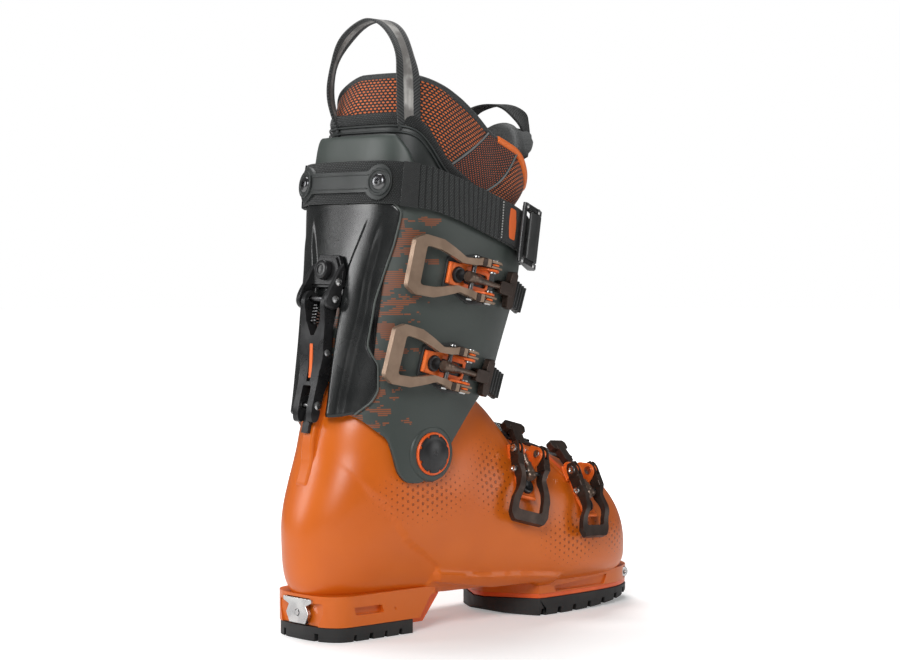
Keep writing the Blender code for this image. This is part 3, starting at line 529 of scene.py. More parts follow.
# Centre x and z, and how far the field reaches along each
DIMPLE_FIELDS = [(36.0, 96.0, 52.0, 24.0), (98.0, 104.0, 27.0, 34.0), (174.0, 57.0, 44.0, 26.0),
                 (222.0, 52.0, 24.0, 18.0)]
DIMPLE_RADIUS, DIMPLE_ROW, DIMPLE_PITCH = 0.00105, 0.0043, 0.0050
DIMPLE_COS, DIMPLE_SIN = 0.87, 0.5


def shell_finish(name, dark, light):
    """Satin orange plastic with fields of dimples on both sides, which fade at their edges. Inside each
    dimple the colour is darkened as painted shade in its hollow.
    """
    made = Finish(name, 0.34, Specular_IOR_Level=0.38, Coat_Weight=0.15, Coat_Roughness=0.22)
    x, y, z = made.axes(made.place)
    tone = made.blend(made.between(made.noise(14.0, 2.0), 0.3, 0.7), dark, light)
    field = None
    for fx, fz, reach_x, reach_z in DIMPLE_FIELDS:
        dx = made.math("DIVIDE", made.math("SUBTRACT", x, fx * MM), reach_x * MM)
        dz = made.math("DIVIDE", made.math("SUBTRACT", z, fz * MM), reach_z * MM)
        one = made.between(made.distance(dx, dz), 1.0, 0.25, smooth=False)
        field = one if field is None else made.math("MAXIMUM", field, one)
    radius = made.math("ADD", made.math("MULTIPLY", field, DIMPLE_RADIUS), 0.00002)
    across = made.math("ADD", made.math("MULTIPLY", x, DIMPLE_COS), made.math("MULTIPLY", z, DIMPLE_SIN))
    up = made.math("SUBTRACT", made.math("MULTIPLY", z, DIMPLE_COS), made.math("MULTIPLY", x, DIMPLE_SIN))
    dot = made.dots(across, up, DIMPLE_PITCH, DIMPLE_ROW, radius)
    side = made.between(made.math("ABSOLUTE", y), 0.012, 0.022)
    dot = made.math("MULTIPLY", made.math("MULTIPLY", dot, side), made.between(field, 0.02, 0.1))
    # painted shade: inside each dimple the colour is darkened to 0.42 of the dark tone
    made.colour(made.blend(made.math("MULTIPLY", dot, 0.75), tone, tuple(0.42 * c for c in dark)))
    made.raised(made.math("SUBTRACT", 1.0, dot), 0.6)
    made.raised(made.noise(900.0, 2.0), 0.03)
    made.rough(made.between(made.noise(40.0), 0.2, 0.8, 0.30, 0.38))


def camouflage_finish():
    """Dark green-grey cuff plastic, with printed patches of orange lines beside the spine."""
    made = Finish("cuff_plastic", 0.42, Specular_IOR_Level=0.45)
    x, y, z = made.axes(made.place)
    step = 0.0013
    snapped = made.vector(
        made.math("SNAP", made.math("ADD", x, made.math("MULTIPLY", z, 0.1)), step * 1.6),
        made.math("MULTIPLY", made.between(y, -0.001, 0.001), 0.3),
        made.math("SNAP", z, step),
    )
    patches = made.noise(105.0, 6.0, snapped, (0.75, 0.75, 1.4))
    rear = made.math("SUBTRACT", x, made.math("MULTIPLY", made.math("SUBTRACT", z, 0.23), 0.235))
    near = made.between(rear, 0.040, 0.006, smooth=False)
    low = made.between(z, 0.118, 0.145)
    high = made.between(z, 0.289, 0.279)
    amount = made.math("MULTIPLY", made.math("MULTIPLY", near, low), high)
    edge = made.math("SUBTRACT", 0.68, made.math("MULTIPLY", amount, 0.21))
    ink = made.math("GREATER_THAN", patches, edge)
    line = made.between(made.math("PINGPONG", z, step / 2), step * 0.13, step * 0.2)
    ink = made.math("MULTIPLY", made.math("MULTIPLY", ink, line), made.between(amount, 0.02, 0.05))
    base = made.blend(made.between(made.noise(9.0, 2.0), 0.3, 0.7), (0.043, 0.053, 0.048),
                      (0.056, 0.068, 0.061))
    made.colour(made.blend(made.math("MULTIPLY", ink, 0.75), base, (0.30, 0.075, 0.02)))
    made.raised(made.noise(1400.0, 2.0), 0.035)
    made.rough(made.between(made.noise(30.0), 0.2, 0.8, 0.38, 0.48))


def webbing_finish(name, dark, light, pitch, ribs=True, turned=False):
    """Woven tape. Its UVs run in metres, u along the tape unless it is turned."""
    made = Finish(name, 0.85, Sheen_Weight=0.15, Sheen_Roughness=0.5)
    u, v, _ = made.axes(made.uv())
    if turned:
        u, v = v, u
    across = made.between(made.math("PINGPONG", v, pitch / 2), 0.0, pitch / 2)
    odd = made.math("MODULO", made.math("FLOOR", made.math("DIVIDE", v, pitch)), 2.0)
    shifted = made.math("ADD", u, made.math("MULTIPLY", made.math("ABSOLUTE", odd), pitch * 0.7))
    thread = made.between(made.math("PINGPONG", shifted, pitch * 0.7), 0.0, pitch * 0.7)
    weave = made.math("MULTIPLY", across, thread)
    if ribs:
        rib = made.between(made.math("PINGPONG", u, 0.0022), 0.0004, 0.0009)
        weave = made.math("MULTIPLY", made.math("ADD", weave, 0.35), rib)
    made.colour(made.blend(weave, dark, light))
    made.raised(weave, 0.5)
    made.raised(made.noise(2600.0, 2.0), 0.08)


def mesh_finish(name, pitch, radius, dark, bright):
    """Black spacer mesh with orange dashes showing through in a staggered grid."""
    made = Finish(name, 0.8, Sheen_Weight=0.15)
    u, v, _ = made.axes(made.uv())
    dot = made.dots(made.math("MULTIPLY", v, 0.58), u, pitch * 0.62, pitch * 0.66, radius)
    tone = made.between(made.noise(45.0), 0.3, 0.7)
    made.colour(made.blend(dot, dark, made.blend(tone, bright, tuple(0.75 * c for c in bright))))
    made.raised(made.math("SUBTRACT", 1.0, dot), 0.35)
    made.raised(made.noise(2200.0, 2.0), 0.1)
    made.rough(made.between(dot, 0.0, 1.0, 0.85, 0.6))


def metal_finish(name, dark, light, roughness, metallic, grain=500.0, depth=0.02):
    made = Finish(name, roughness, metallic)
    made.worn(dark, light, 90.0)
    made.raised(made.noise(grain, 3.0), depth)
    made.rough(made.between(made.noise(70.0), 0.25, 0.75, roughness - 0.07, roughness + 0.08))


def plastic_finish(name, dark, light, roughness, grain=1200.0, depth=0.04, **sockets):
    made = Finish(name, roughness, **sockets)
    made.worn(dark, light, 35.0)
    made.raised(made.noise(grain, 2.0), depth)
    made.rough(made.between(made.noise(50.0), 0.25, 0.75, roughness - 0.05, roughness + 0.06))


def leather_finish():
    """Padded charcoal trim with a pebbled grain and faint creases."""
    made = Finish("liner_trim", 0.62, Sheen_Weight=0.1)
    cells = made.node("ShaderNodeTexVoronoi", made.place, None, 480.0, feature="DISTANCE_TO_EDGE").outputs[0]
    made.colour(made.blend(made.between(cells, 0.0, 0.12), (0.012, 0.014, 0.014), (0.035, 0.038, 0.038)))
    made.raised(made.between(cells, 0.0, 0.15), 0.14)
    made.raised(made.noise(160.0, 4.0), 0.3)


def reflective_finish():
    """Loop webbing: herringbone edges and a light reflective band down the middle."""
    made = Finish("loop_webbing", 0.7, Sheen_Weight=0.2)
    u, v, _ = made.axes(made.uv())
    off = made.math("ABSOLUTE", made.math("SUBTRACT", v, 0.008))
    band = made.between(off, 0.0034, 0.0030)
    slope = made.math("ADD", u, made.math("MULTIPLY", off, 0.8))
    bone = made.between(made.math("PINGPONG", slope, 0.0011), 0.0002, 0.0008)
    cloth = made.blend(bone, (0.008, 0.009, 0.009), (0.045, 0.048, 0.048))
    worn = made.between(made.noise(70.0, 3.0, made.uv()), 0.42, 0.62)
    thread = made.between(made.math("PINGPONG", v, 0.00045), 0.0001, 0.0003)
    silver = made.blend(worn, (0.16, 0.15, 0.14), (0.62, 0.6, 0.57))
    made.colour(made.blend(band, cloth, made.blend(thread, (0.2, 0.19, 0.18), silver)))
    made.raised(made.blend(band, bone, thread), 0.3)
    made.rough(made.between(band, 0.0, 1.0, 0.8, 0.42))


def make_materials():
    shell_finish("shell_plastic", (0.61, 0.118, 0.006), (0.68, 0.142, 0.009))
    plastic_finish("bright_plastic", (0.80, 0.105, 0.012), (0.88, 0.13, 0.016), 0.34)
    plastic_finish("tread_rubber", (0.014, 0.014, 0.014), (0.024, 0.024, 0.023), 0.6, 700.0, 0.12)
    camouflage_finish()
    plastic_finish("spine_plastic", (0.006, 0.007, 0.007), (0.011, 0.012, 0.012), 0.24, 1500.0, 0.06)
    plastic_finish("bead_plastic", (0.06, 0.07, 0.064), (0.085, 0.095, 0.088), 0.35)
    plastic_finish("black_plastic", (0.009, 0.009, 0.010), (0.016, 0.016, 0.017), 0.3, 1100.0, 0.03)
    plastic_finish("buckle_plastic", (0.020, 0.021, 0.021), (0.030, 0.031, 0.031), 0.4)
    plastic_finish("rubber_trim", (0.020, 0.023, 0.022), (0.028, 0.032, 0.031), 0.45, 1500.0, 0.05)
    metal_finish("steel", (0.50, 0.50, 0.50), (0.66, 0.66, 0.65), 0.24, 1.0)
    metal_finish("dark_steel", (0.11, 0.11, 0.115), (0.17, 0.17, 0.17), 0.28, 1.0)
    metal_finish("black_metal", (0.026, 0.026, 0.027), (0.040, 0.040, 0.041), 0.3, 0.6)
    metal_finish("bronze", (0.27, 0.185, 0.13), (0.33, 0.23, 0.165), 0.40, 0.6, 1600.0, 0.05)
    metal_finish("barrel_bronze", (0.15, 0.105, 0.080), (0.20, 0.14, 0.105), 0.34, 0.7, 1400.0, 0.04)
    metal_finish("dark_bronze", (0.042, 0.027, 0.021), (0.062, 0.041, 0.032), 0.38, 0.6, 1400.0, 0.04)
    metal_finish("orange_metal", (0.80, 0.13, 0.015), (0.88, 0.17, 0.022), 0.34, 0.15, 900.0, 0.03)
    webbing_finish("strap_webbing", (0.003, 0.004, 0.004), (0.036, 0.040, 0.039), 0.0011, turned=True)
    webbing_finish("strap_plain_webbing", (0.004, 0.005, 0.005), (0.028, 0.031, 0.030), 0.0012, ribs=False,
                   turned=True)
    webbing_finish("plain_webbing", (0.004, 0.005, 0.005), (0.026, 0.029, 0.028), 0.0011, ribs=False)
    webbing_finish("label_webbing", (0.014, 0.015, 0.015), (0.034, 0.037, 0.036), 0.0006, ribs=False,
                   turned=True)
    reflective_finish()
    leather_finish()
    mesh_finish("liner_mesh", 0.0031, 0.00066, (0.014, 0.012, 0.011), (0.74, 0.15, 0.022))
    mesh_finish("liner_fine_mesh", 0.0024, 0.00040, (0.013, 0.014, 0.014), (0.66, 0.11, 0.02))
    plastic_finish("liner_inside", (0.010, 0.011, 0.011), (0.024, 0.026, 0.026), 0.85, 1800.0, 0.25)
    plastic_finish("piping", (0.80, 0.16, 0.022), (0.86, 0.19, 0.03), 0.45)
    plastic_finish("grey_cord", (0.13, 0.14, 0.14), (0.19, 0.20, 0.20), 0.5)
    plastic_finish("stitch", (0.42, 0.42, 0.40), (0.55, 0.55, 0.53), 0.8)
    plastic_finish("orange_print", (0.78, 0.13, 0.018), (0.85, 0.16, 0.024), 0.5)


# ---------------------------------------------------------------- places and outlines


def frame_matrix(origin, first, second, third):
    axes = [Vector(v).normalized() for v in (first, second, third)]
    rows = [[axis[k] for axis in axes] + [origin[k] * MM] for k in range(3)]
    return Matrix([*rows, [0, 0, 0, 1]])


def shifted(place, x, y, z):
    return place @ Matrix.Translation((x * MM, y * MM, z * MM))


def cuff_frame(angle, z, outset, lean):
    """Axes on the cuff. The first runs forwards round the lateral side, turned down by lean."""
    spot = cuff_point(angle, z, outset)
    ahead = (cuff_point(angle + 0.01, z, outset) - spot).normalized()
    up = (cuff_point(angle, z + 1.0, outset) - spot).normalized()
    out = ahead.cross(up).normalized()
    first = ahead * math.cos(lean) - out.cross(ahead) * math.sin(lean)
    return frame_matrix(spot, first, out.cross(first), out)


def forefoot_frame(x, share, lean, side):
    """Axes on the forefoot. The first climbs towards the ridge, turned towards the toe by lean."""
    turn = side * math.radians(90 * (1 - share))
    here, ahead = forefoot_station(x, 7), forefoot_station(x + 1.0, 7)
    spot = section_point(here, turn)
    climb = (section_point(here, turn - side * 0.02) - spot).normalized()
    forward = (section_point(ahead, turn) - spot).normalized()
    out = (climb.cross(forward) * side).normalized()
    across = (climb.cross(out) * -side).normalized()
    first = climb * math.cos(lean) + across * math.sin(lean)
    return frame_matrix(spot, first, out.cross(first), out)


def crest_point(x, y, lift=0.0):
    """Point on the upper half of the forefoot at this x and y."""
    station = forefoot_station(x)
    half = station[4] if y < 0 else station[5]
    turn = math.asin(min(abs(y) / half, 1.0) ** (station[8] / 2))
    return forefoot_point(x, 1 - math.degrees(turn) / 90, -1 if y < 0 else 1, lift)


def on_pivot(mesh, side):
    """The mesh stood on one side's ankle pivot, with its +Z outwards."""
    return stood(mesh, (PIVOT_X, 0, PIVOT_Z), (0, side, 0))


def mirrored(half):
    """Outline in X and Y closed by its own mirror image in Y."""
    return half + [(x, -y) for x, y in reversed(half)]


def rounded(outline, radius, points=5):
    """Outline with its corners turned into arcs."""
    result = []
    count = len(outline)
    for k, corner in enumerate(outline):
        corner = np.array(corner, float)
        back = np.array(outline[k - 1], float) - corner
        ahead = np.array(outline[(k + 1) % count], float) - corner
        reach_back, reach_ahead = np.linalg.norm(back), np.linalg.norm(ahead)
        cosine = np.clip(back @ ahead / (reach_back * reach_ahead), -0.999, 0.999)
        trim = radius / math.tan(math.acos(cosine) / 2)
        trim = min(trim, 0.45 * reach_back, 0.45 * reach_ahead)
        start = corner + back / reach_back * trim
        end = corner + ahead / reach_ahead * trim
        for t in np.linspace(0, 1, points):
            spot = (1 - t) ** 2 * start + 2 * t * (1 - t) * corner + t * t * end
            result.append((float(spot[0]), float(spot[1])))
    return result


def star_outline(points, even, odd):
    """Outline whose corners lie in turn on two circles, or a polygon where both are the same."""
    radii = [odd if k % 2 else even for k in range(points)]
    return [(r * math.cos(math.tau * k / points), r * math.sin(math.tau * k / points))
            for k, r in enumerate(radii)]


def rod_mesh(name, start, end, radius, sides=32):
    line = Vector(end) - Vector(start)
    mesh = lathe_mesh(name, [(radius, line.length), (radius, 0.0)], sides)
    turn = line.to_track_quat("Z", "Y").to_matrix().to_4x4()
    mesh.transform(Matrix.Translation(Vector(start) * MM) @ turn)
    return mesh


def stood(mesh, origin, axis):
    """The mesh moved so that its +Z lies along axis and its origin at origin."""
    turn = Vector(axis).to_track_quat("Z", "Y").to_matrix().to_4x4()
    mesh.transform(Matrix.Translation([c * MM for c in origin]) @ turn)
    return mesh


def grid_normals(grid):
    """Unit normals of a grid of closed loops, pointing out of them."""
    along_rows = np.gradient(grid, axis=0)
    round_loops = np.roll(grid, -1, axis=1) - np.roll(grid, 1, axis=1)
    normal = np.cross(round_loops, along_rows)
    normal /= np.linalg.norm(normal, axis=2)[:, :, None] + 1e-9
    away = np.sum(normal * (grid - grid.mean(axis=1, keepdims=True)))
    return normal * np.sign(away)


def vessel_mesh(name, outer, inner, lip=0.6):
    """Open-topped body between an outer and an inner stack of loops, with an eased lip."""
    rise = np.array([0.0, 0.0, lip])
    lips = [outer[-1:] * 0.85 + inner[-1:] * 0.15 + rise, outer[-1:] * 0.15 + inner[-1:] * 0.85 + rise]
    grid = np.concatenate([outer, *lips, inner[::-1]])
    return outward(grid_mesh(name, grid, closed=True, caps=True))


def band_mesh(name, outer, inner):
    """Closed band: rows run across it, and each row joins an outer and an inner line."""
    loops = np.concatenate([np.asarray(outer, float), np.asarray(inner, float)[::-1]])
    grid = np.transpose(loops, (1, 0, 2))
    return outward(grid_mesh(name, grid, closed=True, caps=True))


# ---------------------------------------------------------------- lower shell

PANEL_CREASE = [(-34, 132), (-8, 99), (2, 91), (19, 66), (50, 45), (45, 30)]
RAIL_TOP = [(48, 42.5), (58, 41), (90, 37), (126, 35), (160, 31.5), (170, 31)]
RAIL_FOOT = [(48, 36), (65, 33), (113, 26), (154, 24), (163, 27)]


def beside(x, z, line):
    """Distance from a line in the XZ plane, above nought on its left."""
    nearest = np.full(x.shape, 1e6)
    for (x0, z0), (x1, z1) in zip(line, line[1:]):
        dx, dz = x1 - x0, z1 - z0
        t = np.clip(((x - x0) * dx + (z - z0) * dz) / (dx * dx + dz * dz), 0, 1)
        off_x, off_z = x - x0 - t * dx, z - z0 - t * dz
        away = np.hypot(off_x, off_z) * np.where(dx * off_z - dz * off_x > 0, 1, -1)
        nearest = np.where(np.abs(away) < np.abs(nearest), away, nearest)
    return nearest


def spread(x, points):
    return np.interp(x, [p[0] for p in points], [p[1] for p in points])


def shell_relief(grid):
    """Raises the panel in front of the crease, and the side rail."""
    x, _, z = np.moveaxis(grid, 2, 0)
    panel = 1.5 * ease((beside(x, z, PANEL_CREASE) + 0.7) / 1.4) * ease((x + 30) / 20) * ease((128 - z) / 40)
    below = ease((spread(x, RAIL_TOP) - z + 1.0) / 2.0)
    above = ease((z - spread(x, RAIL_FOOT) + 1.5) / 2.5)
    rail = 2.8 * below * above * ease((x - 49) / 2.5) * ease((166 - x) / 10)
    return (panel + rail)[:, :, None] * grid_normals(grid)


def arch_floor(x):
    """Lowest the shell reaches: higher between the heel block and the forefoot sole."""
    return spread(x, [(36, 20), (50, 25), (142, 25), (148, 19.5)])


def make_lower_shell():
    outer = shell_grid(340, 260)
    outer = outer + shell_relief(outer)
    outer[:, :, 2] = np.maximum(outer[:, :, 2], arch_floor(outer[:, :, 0]))
    inner = shell_grid(90, 260, SHELL_WALL, SHELL_FLOOR)
    shell = piece("lower_shell_body", vessel_mesh("lower_shell_body", outer, inner), "shell_plastic", SOLE,
                  ["lower_shell"])
    board = shell_grid(120, 120, SHELL_WALL + LINER_GAP, LINER_FLOOR)
    foot = shell_grid(90, 120, SHELL_WALL + LINER_GAP + LINER_WALL, LINER_FLOOR + 5.0)
    liner = piece("liner_boot", vessel_mesh("liner_boot", board, foot, 1.5), "liner_inside", SOLE,
                  ["liner_lower"])


def lug_outline(back, front, half_width, rear_corner, front_corner, points):
    """Plan outline of a sole lug, with corners that reach rear_corner and front_corner along it."""
    outline = []
    for end, corner, start in ((front, front_corner, -90), (back, rear_corner, 90)):
        direction = 1 if end == front else -1
        for turn in np.radians(start + 180 * np.linspace(0, 1, points)):
            c, s = power(math.cos(turn), 2 / 2.6), power(math.sin(turn), 2 / 2.6)
            outline.append((end + direction * (abs(c) - 1) * corner, float(s) * half_width))
    return outline


def forefoot_outline(inset):
    """Plan outline of the forefoot sole: blunt point at the rear, and round at the toe."""
    tip = TOE_TIP - 1.5
    half = [(FOREFOOT_REAR, 6), (148, 40.5), (154, 41.5), (170, 41.6), (188, 41), (205, 40), (219, 38.4),
            (232, 36), (241, 32.6), (249, 28), (255, 23.8), (tip - 4, 18), (tip - 0.8, 12), (tip, 6)]
    side = [(max(min(x, tip - inset), FOREFOOT_REAR + inset), y - inset) for x, y in half]
    return [(x, -y) for x, y in side] + [(x, y) for x, y in reversed(side)]


def make_heel_block():
    block = prism_mesh("heel_block", lug_outline(HEEL_BACK, 56.0, 34.5, 22.0, 3.0, 40), TREAD_HEIGHT + GAP,
                       HEEL_LEDGE)
    arch = [(31, -5), (31, 5.5), (38.5, 8.4), (49.5, 25), (84, 25), (84, -5)]
    seat = [(-15.6, 5), (15.6, 5), (15.6, 23), (12, 28.6), (-12, 28.6), (-15.6, 23)]
    recess = [(-17.5, 5), (17.5, 5), (23, 19), (23, 25.5), (-23, 25.5), (-23, 19)]
    slot = rounded([(-19, 22.8), (5.3, 22.6), (7.5, 17.2), (-17, 17.4)], 1.2)
    tick = [(16, 20), (18, 19.4), (18, 17.4), (16, 18)]
    cutters = [prism_mesh("arch", arch, -60, 60, "XZ"),
               prism_mesh("seat", rounded(seat, 1.5), -45.0, -37.4, "YZ"),
               prism_mesh("recess", rounded(recess, 1.5), -45.0, -36.0, "YZ")]
    for side in (-1, 1):
        for name, outline, depth in (("slot", slot, 31.0), ("tick", tick, 33.9)):
            low, high = sorted((side * depth, side * 40.0))
            cutters.append(prism_mesh(name, outline, low, high, "XZ"))
    block = carved("heel_block", block, cutters)
    made = piece("heel_block", block, "shell_plastic", SOLE, ["lower_shell"], bevel=0.5)
    web = prism_mesh("arch_web", rounded([(34, 6.2), (46, 6.2), (62, 26.0), (44, 26.0)], 1.5), -30.0, 30.0,
                     "XZ")
    piece("arch_web", web, "bright_plastic", SOLE, ["lower_shell"], bevel=1.0)


def make_toe_block():
    block = prism_mesh("toe_block", forefoot_outline(0.0), TOE_BLOCK_FOOT, TOE_LEDGE)
    recess = rounded([(161, 20.3), (220, 23.3), (216, 16.3), (164, 16.4)], 1.0)
    cutters = [prism_mesh("recess", recess, low, high, "XZ") for low, high in ((-60, -37.0), (37.0, 60))]
    cutters.append(rod_mesh("insert_bore", (250, -60, TOE_PIN_HEIGHT), (250, 60, TOE_PIN_HEIGHT), 4.4))
    block = carved("toe_block", block, cutters)
    piece("toe_block", block, "shell_plastic", SOLE, ["lower_shell"], bevel=0.7)
    plate = prism_mesh("toe_sole_edge", forefoot_outline(0.6), 12.3, 15.7)
    piece("toe_sole_edge", plate, "bright_plastic", SOLE, ["toe_sole_plate"], bevel=0.5)


def tread_cutter(x, width, lean, side, low, depth, reach):
    """Groove in from one side of a tread: a bar as tall as depth, leaning backwards."""
    outline = [(x - width / 2, low - 5), (x + width / 2, low - 5), (x + width / 2 - 0.8 + lean, low + depth),
               (x - width / 2 + 0.8 + lean, low + depth)]
    near, far = (reach, 60) if side > 0 else (-60, -reach)
    return prism_mesh("groove", outline, near, far, "XZ")


def make_treads():
    heel = prism_mesh("heel_tread", lug_outline(HEEL_BACK + 1.0, 34.5, 34.3, 21.0, 1.5, 40), 0.0,
                      TREAD_HEIGHT)
    cutters = []
    for side in (-1, 1):
        for x, width in ((-19, 3.5), (-5, 4.5), (8, 3.5), (21, 4.0)):
            cutters.append(tread_cutter(x, width, 1.5, side, 0.0, 4.2, 17.0))
        cutters.append(prism_mesh("rear_groove",
                                  [(-60, side * 17 - 1.6), (-29, side * 17 - 1.6), (-29, side * 17 + 1.6),
                                   (-60, side * 17 + 1.6)], -5, 5.2))
    cutters.append(prism_mesh("waist", rounded([(-22, -9), (26, -9), (26, 9), (-22, 9)], 4), -5, 3.0))
    made = piece("heel_tread", carved("heel_tread", heel, cutters), "tread_rubber", SOLE, ["heel_sole"],
                 bevel=0.5)
    rocker = [(124, 12.3), (126, 4.5), (134, 1), (140, 0.4), (146, 0), (175, 0), (194, 0.4), (210, 1.2),
              (224, 2.3), (238, 3.8), (252, 6.0), (261, 7.5), (265, 12.3)]
    toe = carved("toe_tread", prism_mesh("toe_tread", rocker, -50.0, 50.0, "XZ"),
                 [prism_mesh("plan", forefoot_outline(0.0), -5.0, 30.0)], "INTERSECT")
    cutters = []
    for x in (150, 166, 182, 198, 214, 230, 245):
        low = spread(x, rocker[1:])
        for side in (-1, 1):
            cutters.append(tread_cutter(x, 4.6, 2.0, side, float(low), 4.6, 15.0))
    for x in (142, 172, 202):
        cutters.append(prism_mesh("diamond", rounded([(x, 0), (x + 9, 8), (x + 18, 0), (x + 9, -8)], 2), -5,
                                  4.0))
    made = piece("toe_tread", carved("toe_tread", toe, cutters), "tread_rubber", SOLE, ["toe_sole"],
                 bevel=0.5)


CREST_BANDS = {
    "instep": ([(119, -31), (117, -35), (116.5, -39), (118, -42), (121, -45)],
               [(144, -12), (137, -27), (129, -37), (125, -42), (123.5, -45.5)]),
    "toe": ([(158, -20), (165, -32), (171, -37), (177, -40.5), (182.5, -43)],
            [(172, -16), (175, -29), (179, -35.5), (183, -39), (186, -42)]),
}


def make_crest_bands():
    """Raised rim behind each front buckle, and the brighter band beside it."""
    for name, (rear, front) in CREST_BANDS.items():
        rear, front = smooth_path(rear, 40), smooth_path(front, 40)
        skin, foot = [], []
        for t in np.linspace(0, 1, 12):
            line = rear * (1 - t) + front * t
            lift = 2.2 - 1.2 * t
            skin.append([crest_point(x, y, lift) for x, y in line])
            foot.append([crest_point(x, y, -0.6) for x, y in line])
        piece(f"{name}_band", band_mesh(f"{name}_band", skin, foot), "bright_plastic", SOLE, bevel=0.4)
        rim = [crest_point(x, y, 1.0) for x, y in rear]
        tube(f"{name}_rim", rim, 1.5, "shell_plastic", SOLE)


def make_crest_straps():
    """Dark slotted straps over the crest that carry the front racks."""
    for name, first, last, near, far in (("instep", 103, 126, -21, 6), ("toe", 137, 174, -15, 4)):
        xs = np.linspace(first, last, 30)
        skin, foot = [], []
        for t in np.linspace(0, 1, 12):
            line = [(x, near + (far - near) * t) for x in xs]
            skin.append([crest_point(x, y, 2.6) for x, y in line])
            foot.append([crest_point(x, y, -0.5) for x, y in line])
        mesh = band_mesh(f"{name}_strap", skin, foot)
        piece(f"{name}_crest_strap", mesh, "buckle_plastic", SOLE, [f"{name}_ladder"], bevel=0.5)
        for k in range(3):
            x = first + (last - first) * (0.25 + 0.25 * k)
            bar = [crest_point(x, y, 3.0) for y in np.linspace(near + 5, far - 4, 12)]
            tube(f"{name}_crest_bar_{k}", bar, 1.3, "black_plastic", SOLE)


# ---------------------------------------------------------------- cuff


def cuff_low_edge(angle):
    return along(cuff_point(angle, 150.0).x,
                 [(-26, 154), (-17, 151), (-5, 141), (7, 133), (11, 118), (22, 105.5), (40, 104),
                  (56, 122), (75, 152), (85, 162), (105, 182), (117, 192)], 5.0)


def cuff_top_edge(angle):
    off = abs(math.degrees(angle) - 180)
    return along(off, [(0, 340), (30, 340), (44, 330), (56, 314), (90, 300), (140, 274), (220, 268)], 3.0)


def flap_depth(angle):
    """How far the medial flap is set in, where the lateral one covers it."""
    return -6.0 * float(ease((50 - math.degrees(angle)) / 60))


def notch(name, top, half=14.5):
    """Cutter for the opening behind the walk lever."""
    outline = rounded([(-half, 90), (half, 90), (half, top), (-half, top)], 3.5)
    return prism_mesh(name, outline, -60.0, 0.0, "YZ")


def make_cuff():
    """Cuff wrapped once round, whose medial flap passes under its lateral one."""
    angles = np.radians(np.linspace(-40.0, 318.0, 320))
    lows = [cuff_low_edge(a) for a in angles]
    highs = [cuff_top_edge(a) for a in angles]
    rows = np.concatenate([[0.0, 0.004, 0.010], np.linspace(0.02, 0.98, 90), [0.990, 0.996, 1.0]])
    pull = [0.9, 0.35, 0.08] + [0.0] * 90 + [0.08, 0.35, 0.9]
    skin = [[cuff_point(a, low + (high - low) * t, flap_depth(a) - inward)
             for a, low, high in zip(angles, lows, highs)] for t, inward in zip(rows, pull)]
    foot = [[cuff_point(a, low + (high - low) * t, flap_depth(a) - CUFF_WALL)
             for a, low, high in zip(angles, lows, highs)] for t in rows[::6].tolist() + [1.0]]
    body = carved("cuff_body", band_mesh("cuff_body", skin, foot), [
        rod_mesh("pivot_hole", (PIVOT_X, -70, PIVOT_Z), (PIVOT_X, 70, PIVOT_Z), 6.6),
        notch("cuff_notch", 192.0),
    ])
    piece("cuff_body", body, "cuff_plastic", CUFF, ["cuff"])
    for side, name in ((-1, "lateral"), (1, "medial")):
        boss = lathe_mesh("boss", [(15.4, 51.5), (17.6, 51.5), (18.6, 50.9), (19.4, 49.0), (15.2, 49.0)], 96)
        piece(f"pivot_boss_{name}", on_pivot(boss, side), "cuff_plastic", CUFF)


SPINE_EDGE = [(150, 31), (154, 34), (160, 39.5), (168, 42), (186, 41.5), (191, 38.8), (198, 35.8),
              (228, 38), (252, 43), (265, 46), (283, 49), (300, 50)]
CREASE_INNER = [(150, 16), (158, 16), (206, 15), (225, 16), (251, 18), (280, 28), (300, 34)]
CREASE_OUTER = [(150, 24), (162, 24), (195, 27), (222, 31), (244, 32), (280, 38), (300, 42)]


def spine_spot(share, z, lift=0.0):
    """Point on the spine insert, with its two raised ribs."""
    y = abs(share) * along(z, SPINE_EDGE, 2.0)
    angle = cuff_angle(math.copysign(y, -share), z)
    inner, outer = along(z, CREASE_INNER, 6.0), along(z, CREASE_OUTER, 6.0)
    rib = 2.2 * float(ease((y - inner + 2.5) / 3.0) * ease((outer + 3.5 - y) / 6.0))
    fade = float(ease((290 - z) / 30.0))
    return cuff_point(angle, z, GAP + 2.2 + rib * fade + lift)


def make_spine():
    shares = np.linspace(-1.0, 1.0, 161)

    def ends(share):
        low = 150 + 3.0 * abs(share) ** 6
        high = 297.0 - 9.0 * abs(share) ** 9
        return low, high

    def surface(lift, rows, eased):
        grid = []
        for t in np.linspace(0, 1, rows):
            row = []
            for share in shares:
                low, high = ends(share)
                edge = min(t * (high - low), (1 - t) * (high - low), (1 - abs(share)) * 60)
                inward = 0.7 * float(ease(1 - edge / 1.2)) if eased else 0.0
                row.append(spine_spot(share, low + (high - low) * t, lift - inward))
            grid.append(row)
        return grid

    skin, foot = surface(0.0, 110, True), surface(-2.1, 110, False)
    body = carved("cuff_spine_insert", band_mesh("cuff_spine_insert", skin, foot),
                  [notch("spine_notch", 224.0)])
    piece("cuff_spine_insert", body, "spine_plastic", CUFF, ["cuff_spine"])
    rim = [spine_spot(-1.0, z, -0.6) for z in np.linspace(152, 287, 60)]
    rim += [spine_spot(s, ends(s)[1], -0.6) for s in np.linspace(-0.985, 0.985, 90)]
    rim += [spine_spot(1.0, z, -0.6) for z in np.linspace(287, 152, 60)]
    tube("spine_bead", rim, 0.75, "bead_plastic", CUFF)


PIVOT_GRIP_R, PIVOT_SOCKET_R = 12.9, 1.15


